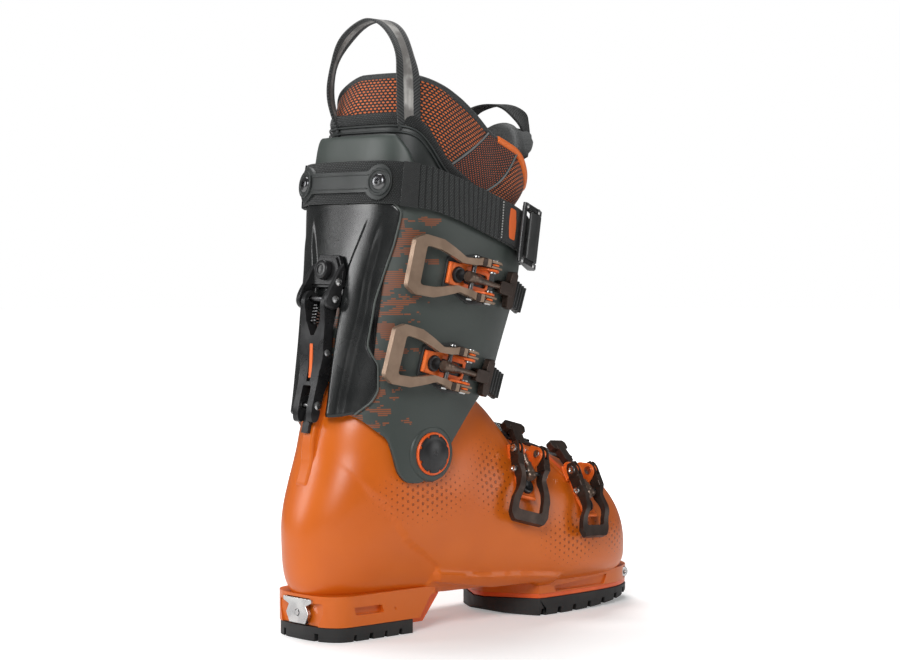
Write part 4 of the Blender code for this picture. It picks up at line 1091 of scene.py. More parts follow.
def make_pivots():
    for side, name in ((-1, "lateral"), (1, "medial")):
        ring = lathe_mesh("ring", [(1.0, 52.6), (13.0, 52.8), (14.0, 53.2), (14.6, 52.6), (14.6, 51.2),
                                   (1.0, 51.2)], 96)
        made = piece(f"pivot_ring_{name}_rim", on_pivot(ring, side), "bright_plastic", CUFF,
                     [f"pivot_ring_{name}"])
        cap = lathe_mesh("cap", [(1.2, 54.3), (1.6, 54.7), (8.6, 54.7), (9.2, 54.3), (11.0, 54.2),
                                 (13.1, 53.3), (13.1, 41.6), (1.2, 41.6)], 96)
        cutters = []
        for k in range(8):
            turn = math.tau * (k + 0.5) / 8
            x, y = PIVOT_GRIP_R * math.cos(turn), PIVOT_GRIP_R * math.sin(turn)
            cutters.append(rod_mesh("grip", (x, y, 50.0), (x, y, 60.0), 1.15, 20))
        cap = on_pivot(carved("cap", cap, cutters), side)
        made = piece(f"pivot_cap_{name}", cap, "black_plastic", SOLE, [f"pivot_rivet_{name}"], bevel=0.2)
        socket = star_outline(6, PIVOT_SOCKET_R, PIVOT_SOCKET_R)
        star = on_pivot(prism_mesh("socket", socket, 52.4, 53.4), side)
        piece(f"pivot_socket_{name}", star, "buckle_plastic", SOLE)


# ---------------------------------------------------------------- upper liner


LINER_TOP_LATERAL = [(17, 379), (24, 379), (36, 375.5), (50, 370), (67, 361), (79, 352.5), (93, 342),
                     (125, 329), (148, 304)]
LINER_TOP_MEDIAL = [(17, 378), (20, 371), (24, 364), (34, 357), (55, 352), (79, 347), (93, 340), (125, 329),
                    (148, 304)]


def liner_top_edge(angle):
    """Height of the liner's rim. It is a dome at the rear, lower on the medial side."""
    spot = liner_point(angle, 360.0)
    lateral = along(spot.x, LINER_TOP_LATERAL, 5.0)
    medial = along(spot.x, LINER_TOP_MEDIAL, 5.0)
    return lateral + (medial - lateral) * float(ease((spot.y - 2.0) / 26.0))


def shell_of(name, angles, low, high, wall, finish, body, nodes, puff=None, rows=60):
    """Padded sleeve: each of its sections is a closed loop up the outside and down the inside."""
    sections = []
    for a in angles:
        foot = low(a) if callable(low) else low
        top = high(a)
        heights = foot + (top - foot) * np.linspace(0, 1, rows)
        outside = [liner_point(a, z, puff(a, z, top) if puff else 0.0) for z in heights]
        roll = [liner_point(a, top + wall / 2 * math.sin(t), -wall / 2 * (1 - math.cos(t)))
                for t in np.linspace(0.3, math.pi - 0.3, 7)]
        inside = [liner_point(a, z, -wall) for z in heights[::-1]]
        sections.append(outside + roll + inside)
    mesh = outward(grid_mesh(name, np.array(sections), closed=True, caps=True))
    return piece(name, mesh, finish, body, nodes)


def make_liner_upper():
    angles = np.radians(np.linspace(30, 343, 190))

    def puff(angle, z, top):
        wave = 0.5 * math.sin(math.degrees(angle) / 9.0) * math.sin(z / 11.0)
        return wave + 0.8 * float(ease((top - z) / 12.0))

    liner = shell_of("liner_sleeve", angles, 190.0, liner_top_edge, 7.5, "liner_mesh", CUFF,
                     ["liner_upper"], puff)
    rim = [liner_point(a, liner_top_edge(a) + 1.0, -1.6) for a in np.radians(np.linspace(62, 298, 160))]
    tube("liner_piping", rim, 2.5, "liner_trim", CUFF)
    for name, low, high in (("lateral", 292, 342.5), ("medial", 30.5, 68)):
        edge = [liner_point(a, liner_top_edge(a) + 1.0, 0.4) for a in np.radians(np.linspace(low, high, 40))]
        tube(f"liner_piping_{name}", edge, 2.5, "piping", CUFF)


def make_tongue():
    tongue_angles = np.radians(np.linspace(-30, 30, 60))

    def tongue_top(angle):
        return 351.0 - 22.0 * (angle / math.radians(31)) ** 2

    def tongue_puff(angle, z, _top):
        channel = abs(((z - 200) / 26.0) % 1.0 - 0.5)
        tucked = -8.5 * float(ease((-6 - math.degrees(angle)) / 10) * ease((334 - z) / 12))
        return tucked + 9.0 * float(ease((z - 318) / 30)) - 0.9 * float(ease(1 - channel / 0.12)) + 0.3

    tongue = shell_of("liner_tongue_pad", tongue_angles, 200.0, tongue_top, 8.0, "liner_trim", CUFF,
                      ["liner_tongue"], tongue_puff, 90)


def make_rear_panel():
    """Smooth stretch panel behind the calf, in a braided border that arches over the spoiler."""
    reach = math.radians(96)

    def top(angle):
        return along(liner_point(angle, 340.0).x,
                     [(17, 350), (24, 349), (31, 345), (40, 334), (48, 323), (58, 314), (66, 309),
                      (80, 300)], 3.5)

    angles = math.pi + np.linspace(-reach, reach, 160)
    skin = [[liner_point(a, 286 + (top(a) - 286) * t, 1.6 + 0.8 * math.sin(math.pi * t)) for a in angles]
            for t in np.linspace(0, 1, 24)]
    foot = [[liner_point(a, 286 + (top(a) - 286) * t, -1.0) for a in angles] for t in np.linspace(0, 1, 6)]
    piece("liner_rear_panel", band_mesh("liner_rear_panel", skin, foot), "rubber_trim", CUFF, bevel=0.4)
    border = [liner_point(a, top(a) + 1.5, 2.0) for a in angles]
    across = [liner_point(a, top(a) + 2.5, 2.0) - liner_point(a, top(a) + 1.5, 2.0) for a in angles]
    mesh = ribbon_mesh("liner_rear_border", border, across, 7.0, 160, 0.8)
    solidify(piece("liner_rear_border", mesh, "plain_webbing", CUFF), 1.4)
    for k, drop in enumerate((-3.5, -7.5)):
        line = [liner_point(a, top(a) + drop, 2.9) for a in angles]
        tube(f"liner_rear_cord_{k}", line, 0.8, "rubber_trim", CUFF)


def make_side_patches():
    """Dark patch with a finer mesh on each side, between two grey cords."""
    left = [(89, 343), (74, 332), (54, 320)]
    right = [(118, 330), (101, 310), (84, 302)]
    for side, name in ((-1, "lateral"), (1, "medial")):
        skin, foot = [], []
        for t in np.linspace(0, 1, 16):
            line = smooth_path(np.array(left) * (1 - t) + np.array(right) * t, 24)
            angles = [lateral_angle(x, z, liner_point) for x, z in line]
            skin.append([liner_point(a, z, 1.5) for a, (x, z) in zip(angles, line)])
            foot.append([liner_point(a, z, -1.0) for a, (x, z) in zip(angles, line)])
        mesh = band_mesh(f"liner_patch_{name}", skin, foot)
        cords = [skin[0], skin[-1]]
        flip = Vector((1, -side, 1))
        if side > 0:
            mesh.transform(Matrix.Scale(-1, 4, (0, 1, 0)))
            mesh.flip_normals()
        piece(f"liner_patch_{name}", mesh, "liner_fine_mesh", CUFF, bevel=0.3)
        for k, cord in enumerate(cords):
            tube(f"liner_cord_{name}_{k}", [Vector(p) * flip for p in cord], 0.7, "grey_cord", CUFF)


def make_pull_loops():
    path = [(21, 27, 341), (19, 30, 351), (16, 32.5, 366), (16, 32, 382), (19, 28, 399), (24, 17, 414),
            (28, 2, 420.5), (30, -13, 416.5), (29.5, -26, 404), (27, -35.5, 386), (24.5, -40, 368),
            (23.5, -41.5, 352), (27, -39.5, 341)]
    across = [(0.8, 0.6, 0)] * 4 + [(0.9, 0.3, 0)] * 2 + [(1, 0, 0)] * 3 + [(0.85, -0.5, 0)] * 3
    mesh = ribbon_mesh("pull_loop", path, across, 16.0, 150)
    loop = solidify(piece("pull_loop", mesh, "loop_webbing", CUFF, ["liner_pull_loop"]), 1.6)
    path = [(137, 31, 344), (136, 29, 354), (140, 22, 363), (148, 11, 368), (156, -3, 365), (160, -12, 353),
            (158, -15, 340), (154, -17, 328)]
    across = [(0.5, -0.8, 0)] * 2 + [(0.9, -0.5, 0)] * 3 + [(0.9, 0.3, 0.3)] * 3
    mesh = ribbon_mesh("tongue_loop", path, across, 13.0, 110)
    loop = solidify(piece("tongue_loop", mesh, "plain_webbing", CUFF, ["tongue_pull_loop"]), 1.5)


# ---------------------------------------------------------------- power strap

STRAP_LINE = [(0, 308.5), (30, 303), (90, 282.5), (140, 267), (160, 263)]
STRAP_HALF_WIDTH, STRAP_OUTSET, STRAP_THICKNESS = 14.4, 3.0, 1.8
YOKE_REACH = 21.0
YOKE_OUTSET = STRAP_OUTSET + STRAP_THICKNESS + GAP


def strap_middle(angle):
    return along(cuff_point(angle, 300.0).x, STRAP_LINE, 8.0)


def strap_band(name, first, last, half, outset, thickness, finish, nodes=(), columns=120, rows=9, bevel=0.35):
    """Length of strap between two angles in degrees. half is its half width, or a function of angle."""
    angles = np.radians(np.linspace(first, last, columns))
    halves = [half(a) if callable(half) else half for a in angles]

    def surface(lift):
        return [[cuff_point(a, strap_middle(a) + t * h, outset + lift) for a, h in zip(angles, halves)]
                for t in np.linspace(-1, 1, rows)]

    return piece(name, band_mesh(name, surface(thickness), surface(0.0)), finish, CUFF, nodes, bevel=bevel)


def make_power_strap():
    base, top = STRAP_OUTSET, STRAP_THICKNESS
    strap_band("strap_rear", 141, 222, STRAP_HALF_WIDTH, base, top, "strap_plain_webbing",
                       ["power_strap"])
    for name, first, last in (("lateral", 222, 237), ("medial", 126, 141)):
        strap_band(f"strap_cover_{name}", first, last, STRAP_HALF_WIDTH + 0.5, base - 0.2, top + 1.1,
                   "label_webbing")
    ribbed = strap_band("strap_webbing_run", 237, 486, STRAP_HALF_WIDTH, base, top, "strap_webbing",
                        ["power_strap"], 320)

    def yoke_half(angle):
        off = abs(math.degrees(angle) - 180)
        disc = 12.0 * math.sqrt(max(0.0, 1 - ((off - YOKE_REACH) / 11.6) ** 2))
        bar = 7.0 if off < YOKE_REACH else 0.0
        return max(disc, bar, 0.8)

    yoke_end = YOKE_REACH + 11.4
    yoke = strap_band("strap_yoke_plate", 180.0 - yoke_end, 180.0 + yoke_end, yoke_half, YOKE_OUTSET - 0.3,
                      top + 0.2, "rubber_trim", ["strap_yoke"], 240, 13)
    for k, rise in enumerate((-4.6, 4.6)):
        line = [cuff_point(a, strap_middle(a) + rise, YOKE_OUTSET + top)
                for a in np.radians(np.linspace(168, 192, 60))]
        tube(f"yoke_line_{k}", line, 0.45, "rubber_trim", CUFF)
    for sign, name in ((-1, "medial"), (1, "lateral")):
        angle = math.radians(180 + sign * YOKE_REACH)
        place = cuff_frame(angle, strap_middle(angle), YOKE_OUTSET + top + 0.1, 0.0)
        ring = lathe_mesh("ring", [(1.0, 0.2), (7.2, 0.2), (7.8, 0.9), (8.6, 1.0), (9.3, 0.6), (9.4, -0.4),
                                   (1.0, -0.4)], 64)
        piece(f"yoke_ring_{name}", ring, "rubber_trim", CUFF, place=place)
        head = lathe_mesh("head", [(0.5, 2.1), (3.4, 2.1), (4.8, 1.5), (5.6, 0.4), (5.6, -0.2),
                                   (0.5, -0.2)], 64)
        star = rounded(star_outline(12, 1.8, 2.5), 0.3, 3)
        head = carved("head", head, [prism_mesh("star", star, 0.6, 4.0)])
        made = piece(f"yoke_screw_{name}", head, "dark_steel", CUFF, [f"strap_rivet_{name}"], place,
                     bevel=0.1)
    make_strap_label()


def make_strap_label():
    """Sewn label by the buckle: a stitched edge, and one plain orange bar."""
    first, last = 282.0, 299.0
    top = STRAP_OUTSET + STRAP_THICKNESS
    strap_band("strap_label", first, last, 13.6, top, 0.7, "label_webbing", columns=40)
    line = [cuff_point(math.radians(first + 0.8), strap_middle(math.radians(first)) + t, top + 0.9)
            for t in np.linspace(-13, 13, 29)]
    for k in range(0, 28, 2):
        tube(f"label_stitch_{k:02d}", [line[k], line[k + 1]], 0.45, "stitch", CUFF)
    angles = np.radians(np.linspace(first + 6.0, first + 12.0, 12))

    def surface(lift):
        return [[cuff_point(a, strap_middle(a) + 0.5
                            + t * 10.5 * math.sqrt(1 - 0.96 * (2 * k / 11 - 1) ** 8), top + lift) for k,
                 a in enumerate(angles)] for t in np.linspace(-1, 1, 20)]

    piece("label_bar", band_mesh("label_bar", surface(0.95), surface(0.3)), "orange_print", CUFF)


def make_cam_buckle():
    angle = lateral_angle(117.0, 262.0)
    place = cuff_frame(angle, strap_middle(angle) - 2, YOKE_OUTSET, math.radians(14))
    bars = []
    for low, high in ((-21.0, -17.6), (17.6, 21.0)):
        side = rounded([(-17, 0.6), (13, 0.6), (13.5, 5.0), (10, 7.2), (4, 7.0), (-17, 3.2)], 1.4)
        bars.append(prism_mesh("bar", side, low, high, "XZ"))
    bars.append(prism_mesh("cross", rounded([(-17, 0.5), (-11, 0.5), (-11, 2.8), (-17, 2.8)], 0.8), -18.5,
                           18.5, "XZ"))
    frame = carved("cam_frame", bars[0], bars[1:], "UNION")
    piece("cam_frame_plate", frame, "black_plastic", CUFF, ["cam_frame"], place, bevel=0.4)
    pivot = shifted(place, 8, 0, 4.4)
    side = rounded([(-14, -1.4), (-14, 0.8), (-6, 3.0), (1, 3.2), (3.2, 1.0), (3.2, -1.4), (-2, -2.6)], 0.9)
    body = carved("cam_body", prism_mesh("cam_body", side, -16.8, 16.8, "XZ"),
                  [rod_mesh("trunnion", (0, -20.6, 0), (0, 20.6, 0), 1.1)], "UNION")
    piece("cam_lever_body", body, "buckle_plastic", "cam_lever_unit", ["cam_lever"], pivot,
                  bevel=0.4)
    for k, y in enumerate((-19.3, 19.3)):
        for x in (-13.5, 3.0):
            head = lathe_mesh("rivet", [(0.3, 1.0), (1.4, 0.8), (2.0, 0.0), (0.3, 0.0)], 24)
            name = f"cam_rivet_{k}_{'a' if x < 0 else 'b'}"
            piece(name, head, "steel", CUFF, place=shifted(place, x, y, 3.6 if x < 0 else 7.0))


# ---------------------------------------------------------------- walk mechanism

WALK_PIN, CATCH_PIN, STUD_Z = (-20.5, 229.0), (-30.5, 157.5), 247.5
RIB_ARC, ANCHOR_ARC = 69.0, 71.9


def make_walk_bracket():
    place = Matrix.Translation((-10.9 * MM, 0, STUD_Z * MM)) @ Matrix.Rotation(math.radians(10.9), 4, "Y")
    plate = rounded([(-10, 11), (10, 11), (17, 0), (17, -11.5), (-17, -11.5), (-17, 0)], 2.5)
    layers = [prism_mesh("plate", plate, -3.0, 0.2, "YZ"),
              prism_mesh("plate", [(y * 0.86, z * 0.86) for y, z in plate], -4.4, -2.6, "YZ")]
    made = piece("walk_plate", joined("walk_plate", layers), "black_metal", CUFF, ["walk_bracket"], place,
                 bevel=0.5)
    x, z = WALK_PIN
    claw = smooth_path([(-12.5, 253), (-17.0, 248), (-22.0, 240), (-27.0, 232.0), (-27.6, 226.0),
                        (-24.0, 222.6), (-18.5, 223.0), (-15.6, 227.5), (-14.0, 236), (-11.5, 243),
                        (-12.5, 253)], 60)[:-1]
    for side, name in ((-1, "lateral"), (1, "medial")):
        low, high = sorted((side * 13.2, side * 16.8))
        arm = prism_mesh("arm", claw.tolist(), low, high, "XZ")
        bore = rod_mesh("bore", (x, -25, z), (x, 25, z), 2.3)
        made = piece(f"walk_claw_{name}", carved("arm", arm, [bore]), "black_metal", CUFF, ["walk_bracket"],
                     bevel=0.6)
        for k, (px, pz) in enumerate(((x, z), (-17.5, 240.5))):
            head = lathe_mesh("pin", [(0.4, 1.6), (1.6, 1.5), (2.6, 0.8), (2.8, 0.0), (0.4, 0.0)], 32)
            head = stood(head, (px, side * 16.7, pz), (0, side, 0))
            piece(f"walk_pin_head_{name}_{k}", head, "steel", CUFF)
    stud = lathe_mesh("stud", [(0.6, 9.8), (5.4, 9.8), (6.4, 9.2), (6.8, 8.0), (6.8, 5.6), (6.0, 4.6),
                               (2.1, 3.5), (2.1, 0.0)], 64)
    hollow = lathe_mesh("hollow", [(3.6, 11.0), (3.2, 8.9), (0.3, 8.7)], 48)
    stud = stood(carved("stud", stud, [hollow]), (0.2, 0, 0), (-1, 0, 0))
    made = piece("walk_knob", stud, "black_plastic", CUFF, ["walk_stud"], place, bevel=0.2)


def make_walk_lever():
    x, z = WALK_PIN
    catch_x, catch_z = CATCH_PIN
    side = smooth_path([(-16.5, 233), (-20.5, 234.6), (-24.8, 232), (-26.4, 218.0), (-27.4, 202),
                        (-28.5, 186.0), (-31.5, 171.0), (-35.2, 157.0), (-36.0, 150.0), (-34.5, 146.2),
                        (-32.0, 146.4), (-28.5, 153.0), (-26.8, 161.0), (-21.9, 172.0), (-20.2, 192.0),
                        (-17.8, 214.0), (-15.4, 226), (-16.5, 233)], 90)[:-1]
    body = prism_mesh("walk_lever_body", side.tolist(), -12.6, 12.6, "XZ")
    half = [(-9.0, 236), (-9.0, 232), (-7.2, 214), (-1.6, 204.5)]
    cutters = [prism_mesh("v_slot", rounded(half + [(-y, h) for y, h in reversed(half)], 1.2), -60, 0,
                          "YZ"), prism_mesh("fork", rounded([(-4.4, 130), (4.4, 130), (4.4, 171),
                                                             (-4.4, 171)], 1.5), -60, 0, "YZ"),
               prism_mesh("groove", rounded([(-1.9, 173.5), (1.9, 173.5), (2.6, 201), (-2.6, 201)], 0.8),
                          -60, -27.6, "YZ"), rod_mesh("bore", (x, -25, z), (x, 25, z), 2.3),
               rod_mesh("bore", (catch_x, -25, catch_z), (catch_x, 25, catch_z), 2.1)]
    for sign in (-1, 1):
        waist = [(sign * 10.0, 130), (sign * 20, 130), (sign * 20, 190), (sign * 12.8, 190),
                 (sign * 10.2, 180)]
        cutters.append(prism_mesh("waist", waist, -60, 0, "YZ"))
    place = Matrix.Translation((x * MM, 0, z * MM))
    body = carved("walk_lever_body", body, cutters)
    body.transform(place.inverted())
    unit = "walk_lever_unit"
    made = piece("walk_lever_body", body, "black_metal", unit, ["walk_lever"], place, bevel=0.45)
    stripe = [(-29.3, 0, 176), (-28.5, 0, 184), (-28.2, 0, 191), (-27.8, 0, 199)]
    skin = [[(px, side * 1.5, pz) for px, _, pz in smooth_path(stripe, 20)] for side in np.linspace(-1, 1, 5)]
    foot = [[(px + 0.9, y, pz) for px, y, pz in row] for row in skin]
    piece("walk_lever_stripe", band_mesh("stripe", skin, foot), "orange_print", unit)
    for sign, name in ((-1, "lateral"), (1, "medial")):
        for k, (px, pz, y, size) in enumerate(((catch_x, catch_z, 10.2, 3.0), (-24.4, 193.0, 12.6, 2.4))):
            ring = lathe_mesh("head", [(0.8, 1.0), (size * 0.6, 1.1), (size, 0.6), (size, -0.6),
                                       (0.8, -0.6)], 32)
            ring = stood(ring, (px, sign * y, pz), (0, sign, 0))
            piece(f"walk_lever_stud_{name}_{k}", ring, "steel", unit)


def make_walk_anchor():
    outline = []
    for radius, turns in ((ANCHOR_ARC, (147, 168)), (RIB_ARC + GAP, (168, 147))):
        for turn in np.radians(np.linspace(*turns, 14)):
            outline.append((PIVOT_X + radius * math.cos(turn), PIVOT_Z + radius * math.sin(turn)))
    made = piece("walk_catch", prism_mesh("walk_catch", outline, -3.6, 3.6, "XZ"), "black_metal", SOLE,
                 ["walk_anchor"], bevel=0.4)
    back = [(PIVOT_X + RIB_ARC * math.cos(t), PIVOT_Z + RIB_ARC * math.sin(t))
            for t in np.radians(np.linspace(134, 184, 24))]
    rib = prism_mesh("walk_rib", [*back, (-38.0, 104.0), (-24.0, 96.0), (0.0, 150.0)], -6.0, 6.0, "XZ")
    piece("walk_rib", rib, "shell_plastic", SOLE, ["lower_shell"], bevel=2.6)


def make_walk_spring():
    coils, radius, wire = 6, 2.6, 0.6
    start, end = Vector((-19.5, 3.4, 224.5)), Vector((-22.5, 3.4, 212.0))
    axis = (end - start).normalized()
    side = axis.orthogonal().normalized()
    other = axis.cross(side)
    coil = []
    for t in np.linspace(0, 1, 140):
        spin = math.tau * coils * t
        coil.append(start.lerp(end, t) + radius * (side * math.cos(spin) + other * math.sin(spin)))
    tube("walk_coil", coil, wire, "dark_steel", "walk_lever_unit", ["walk_spring"])


# ---------------------------------------------------------------- buckles

PIVOT_HEIGHT, TRUNNION_X, TRUNNION_Z, BASE_MIDDLE_X = 9.5, -15.0, 7.2, -14.0


def make_bracket(name, place, body):
    """Folded sheet base: a plate on the boot, two wavy inner cheeks and two ears in the forks."""
    base = rounded(mirrored([(5, -8.5), (-4, -9), (-20, -9), (-25, -7.6), (-32, -7.6)]), 1.5)
    base = prism_mesh("base", base, 0.6, 2.4)
    base = carved("base", base, [rod_mesh("hole", (-24, 0, -5), (-24, 0, 8), 3.0),
                                 prism_mesh("slot", rounded([(-18, -4.5), (3, -4.5), (3, 4.5), (-18, 4.5)],
                                                            2), -1, 5)])
    fold = rod_mesh("fold", (-32, -7.4, 1.9), (-32, 7.4, 1.9), 1.5, 24)
    cheek = smooth_path([(-18, 1.2), (-15.5, 3.6), (-12, 3.4), (-8, 6.5), (-4.5, 11.8), (0, 13.6),
                         (4.6, 11.2), (7.2, 7.0), (8.8, 3.5), (8.0, 1.0)], 40).tolist()
    sheets = [base, fold]
    for low, high in ((-9.0, -7.4), (7.4, 9.0)):
        sheets.append(prism_mesh("cheek", cheek, low, high, "XZ"))
    ear = [(4.0 * math.cos(t), PIVOT_HEIGHT + 4.0 * math.sin(t))
           for t in np.radians(np.linspace(-20, 200, 24))]
    ear += [(-3.4, 4.0), (-5.0, 1.0), (6.0, 1.0), (4.4, 5.0)]
    for low, high in ((-12.6, -11.2), (11.2, 12.6)):
        sheets.append(prism_mesh("ear", ear, low, high, "XZ"))
        near, far = (8.6, 13.0) if low > 0 else (-13.0, -8.6)
        sheets.append(prism_mesh("flange", rounded([(-5.5, near), (6.5, near), (6.5, far), (-5.5, far)],
                                                   1.2), 0.7, 2.0))
    made = piece(f"{name}_bracket_sheet", joined("bracket", sheets), "orange_metal", body,
                 [f"{name}_bracket"], place, bevel=0.3)
    bumper = lathe_mesh("bumper", [(0.3, 3.2), (2.6, 3.6), (4.0, 4.6), (5.0, 4.4), (5.6, 3.2), (5.6, 2.2),
                                   (0.3, 2.2)], 48)
    bumper.transform(Matrix.Translation((-24 * MM, 0, 0)))
    made = piece(f"{name}_bumper", bumper, "black_plastic", body, [f"{name}_base_rivet"], place)
    for k, y in enumerate((-8.9, 8.9)):
        sign = 1 if y > 0 else -1
        nut = lathe_mesh("nut", [(0.5, 1.6), (2.2, 1.6), (2.8, 1.0), (2.8, 0.0), (0.5, 0.0)], 32)
        piece(f"{name}_cheek_nut_{k}", stood(nut, (0, sign * 6.0, PIVOT_HEIGHT), (0, sign, 0)), "steel",
              body, place=place)


def handle_profile(rear, drop):
    """Side view of a lever, from its forked end back to its handle."""
    top = smooth_path([(6.4, 2.6), (2.0, 4.0), (-6, 4.0), (-13, 3.8), (-21, 2.0), (-30, 0.9),
                       (rear * 0.72, -2.4), (rear - 1, drop + 3.4)], 40)
    foot = smooth_path([(rear - 1, drop - 0.6), (rear * 0.72, -6.2), (-30, -3.2), (-20, -4.4), (-10, -4.2),
                        (2.0, -3.9), (6.4, -2.0)], 36)
    return top.tolist() + foot.tolist()


def make_lever(name, place, length, half_width, finish, cuff):
    pivot = shifted(place, 0, 0, PIVOT_HEIGHT)
    unit = f"{name}_lever_unit"
    rear, arm, inner = -length, 14.6, 9.5
    waist = 12.2 if cuff else 11.6
    half = [(6.2, arm), (-3.5, arm), (-7.0, arm + 0.2), (-13.0, arm + 0.2), (-17.0, waist + 1.0),
            (rear * 0.40, waist - 0.2), (rear * 0.56, half_width * 0.80), (rear * 0.70, half_width * 0.97),
            (rear * 0.90, half_width), (rear, half_width * 0.80)]
    outer = rounded(mirrored(half), 3.4, 6)
    wall = 8.6 if cuff else 7.4
    half = [(20, inner), (-14, inner), (-18, waist - 3.8), (rear * 0.44, waist - 4.4),
            (rear * 0.56, half_width * 0.50), (rear * 0.70, half_width * 0.62),
            (rear + wall, half_width * 0.66)]
    hole = rounded(mirrored(half), 2.4, 6)
    drop = -11.5
    body = carved("lever", prism_mesh("lever", outer, -20, 20),
                  [prism_mesh("profile", handle_profile(rear, drop), -30, 30, "XZ")], "INTERSECT")
    fork = [prism_mesh("fork", rounded([(-5.4, low), (20, low), (20, high), (-5.4, high)], 0.9), -9, 9)
            for low, high in ((-13.0, -10.8), (10.8, 13.0))]
    body = carved("lever", body, [prism_mesh("hole", hole, -25, 25), *fork])
    made = piece(f"{name}_handle", body, finish, unit, [f"{name}_lever"], pivot, bevel=0.7)
    drop = TRUNNION_Z - PIVOT_HEIGHT
    for k, sign in enumerate((-1, 1)):
        for n, (x0, x1) in enumerate(((-13.2, -9.4), (-5.9, -5.0))):
            section = rounded([(-4.5, 9.2), (4.3, 9.2), (4.3, 15.1), (-4.5, 15.1)], 1.4)
            collar = prism_mesh("collar", [(sign * y, h) for h, y in section], x0, x1, "YZ")
            piece(f"{name}_collar_{k}_{n}", collar, "dark_bronze", unit, place=pivot, bevel=0.2)
        for n, (px, pz, y, size) in enumerate(((0, 0, 14.4, 2.9), (TRUNNION_X, drop, 14.3, 2.5))):
            head = lathe_mesh("head", [(0.9, 0.8), (size * 0.55, 1.3), (size * 0.9, 1.1), (size, 0.5),
                                       (size, 0.0), (0.9, 0.0)], 40)
            head = stood(head, (px, sign * y, pz), (0, sign, 0))
            nodes = [f"{name}_pivot_{'ab'[k]}"] if n == 0 else []
            piece(f"{name}_pin_head_{k}_{n}", head, "steel", unit, nodes, pivot)
        shank = rod_mesh("shank", (0, sign * 6.8, 0), (0, sign * 14.6, 0), 1.6, 20)
        piece(f"{name}_pin_shank_{k}", shank, "dark_steel", unit, place=pivot)


def make_bail(name, place, reach, tilt):
    own = shifted(place, TRUNNION_X, 0, TRUNNION_Z) @ Matrix.Rotation(tilt, 4, "Y")
    unit = f"{name}_bail_unit"
    pin = rod_mesh("pin", (0, -14.0, 0), (0, 14.0, 0), 1.7, 24)
    made = piece(f"{name}_cross_pin", pin, "dark_steel", unit, [f"{name}_bail"], own)
    barrel = lathe_mesh("barrel", [(0.5, 0.0), (3.2, 0.1), (3.9, 0.9), (4.0, 3.4), (3.3, 4.2), (3.8, 5.0),
                                   (3.5, 13.0), (2.6, 14.0), (2.3, 21.5), (1.9, 22.5),
                                   (1.9, reach - 8)][::-1], 40)
    barrel = stood(barrel, (-5.5, 0, 0.1), (1, 0, 0))
    piece(f"{name}_barrel", barrel, "barrel_bronze", unit, place=own)
    block = prism_mesh("block", rounded(mirrored([(reach - 1, -4.4), (reach - 15, -4.4),
                                                  (reach - 16, -3.4)]), 0.6), -2.6, 2.4)
    wide = 13.4 if name in ("upper_cuff", "lower_cuff") else 10.0
    head = rounded(mirrored([(reach + 3.6, 2.4 - wide), (reach + 1.4, -wide), (reach - 3.4, 1.0 - wide),
                             (reach - 4.6, -6.0)]), 1.0)
    made = piece(f"{name}_hook", carved("hook", block, [prism_mesh("head", head, -3.0, 1.8)], "UNION"),
                 "dark_bronze", unit, [f"{name}_bail"], own, bevel=0.6)


def make_ladder(name, place, body):
    profile = [(-2.0, -0.6), (-2.0, 1.4), (0.0, 1.8)]
    for k in range(4):
        x = k * 8.0
        profile += [(x + 0.6, 4.9), (x + 1.0, 5.3), (x + 1.9, 5.3), (x + 2.3, 4.9), (x + 3.3, 1.8),
                    (x + 7.9, 1.8)]
    profile += [(33.0, 1.4), (33.0, -0.6)]
    rack = prism_mesh("rack", profile, -9.0, 9.0, "XZ")
    base = prism_mesh("base", rounded([(-4, -9.6), (33.5, -9.6), (33.5, 9.6), (-4, 9.6)], 3.0), -0.5, 1.3)
    made = piece(f"{name}_rack", joined("rack", [rack, base]), "buckle_plastic", body, [f"{name}_ladder"],
                 place, bevel=0.35)


def make_pad(name, place, body):
    """Moulded pad under a buckle."""
    half = [(12, -9), (6, -15.5), (-8, -17.5), (-24, -13), (-34, -10.5)]
    pad = prism_mesh("pad", rounded(mirrored(half), 2.0), -4.0, 0.45)
    piece(f"{name}_pad", pad, "buckle_plastic", body, place=place, bevel=0.5)


def make_cuff_buckles():
    for name, x, z, lean, length in (("upper_cuff", 72.0, 240.5, 12.0, 66.0),
                                     ("lower_cuff", 55.0, 180.5, 13.0, 63.0)):
        angle = lateral_angle(x + BASE_MIDDLE_X, z)
        rise = math.tan(math.radians(lean)) * -BASE_MIDDLE_X
        base = cuff_frame(angle, z + rise, GAP, math.radians(lean))
        place = shifted(base, -BASE_MIDDLE_X, 0, 0)
        make_pad(name, place, CUFF)
        make_bracket(name, place, CUFF)
        make_lever(name, place, length, 20.5, "bronze", True)
        make_bail(name, place, 48.0, math.radians(12))
        angle = lateral_angle(x + 44, z - 10)
        make_ladder(name, shifted(cuff_frame(angle, z - 10, GAP, math.radians(lean)), -11, 0, 0), CUFF)


def make_shell_buckles():
    for name, x, share, lean, length, lift, tilt in (("instep", 125.5, 0.52, 12.0, 51.0, 2.0, 16.0),
                                                     ("toe", 187.0, 0.50, -1.0, 48.0, 0.5, 15.0)):
        base = forefoot_frame(x - 2, share - 0.15, math.radians(lean), -1)
        place = shifted(base, -BASE_MIDDLE_X, 0, lift)
        make_bracket(name, place, SOLE)
        make_lever(name, place, length, 17.0, "dark_bronze", False)
        make_bail(name, place, 42.0, math.radians(tilt))
        ridge = forefoot_frame(x + 14, 0.93, math.radians(lean), -1)
        make_ladder(name, shifted(ridge, -5, 0, lift + 1.0), SOLE)


# ---------------------------------------------------------------- CAD pieces that stay, and the studio


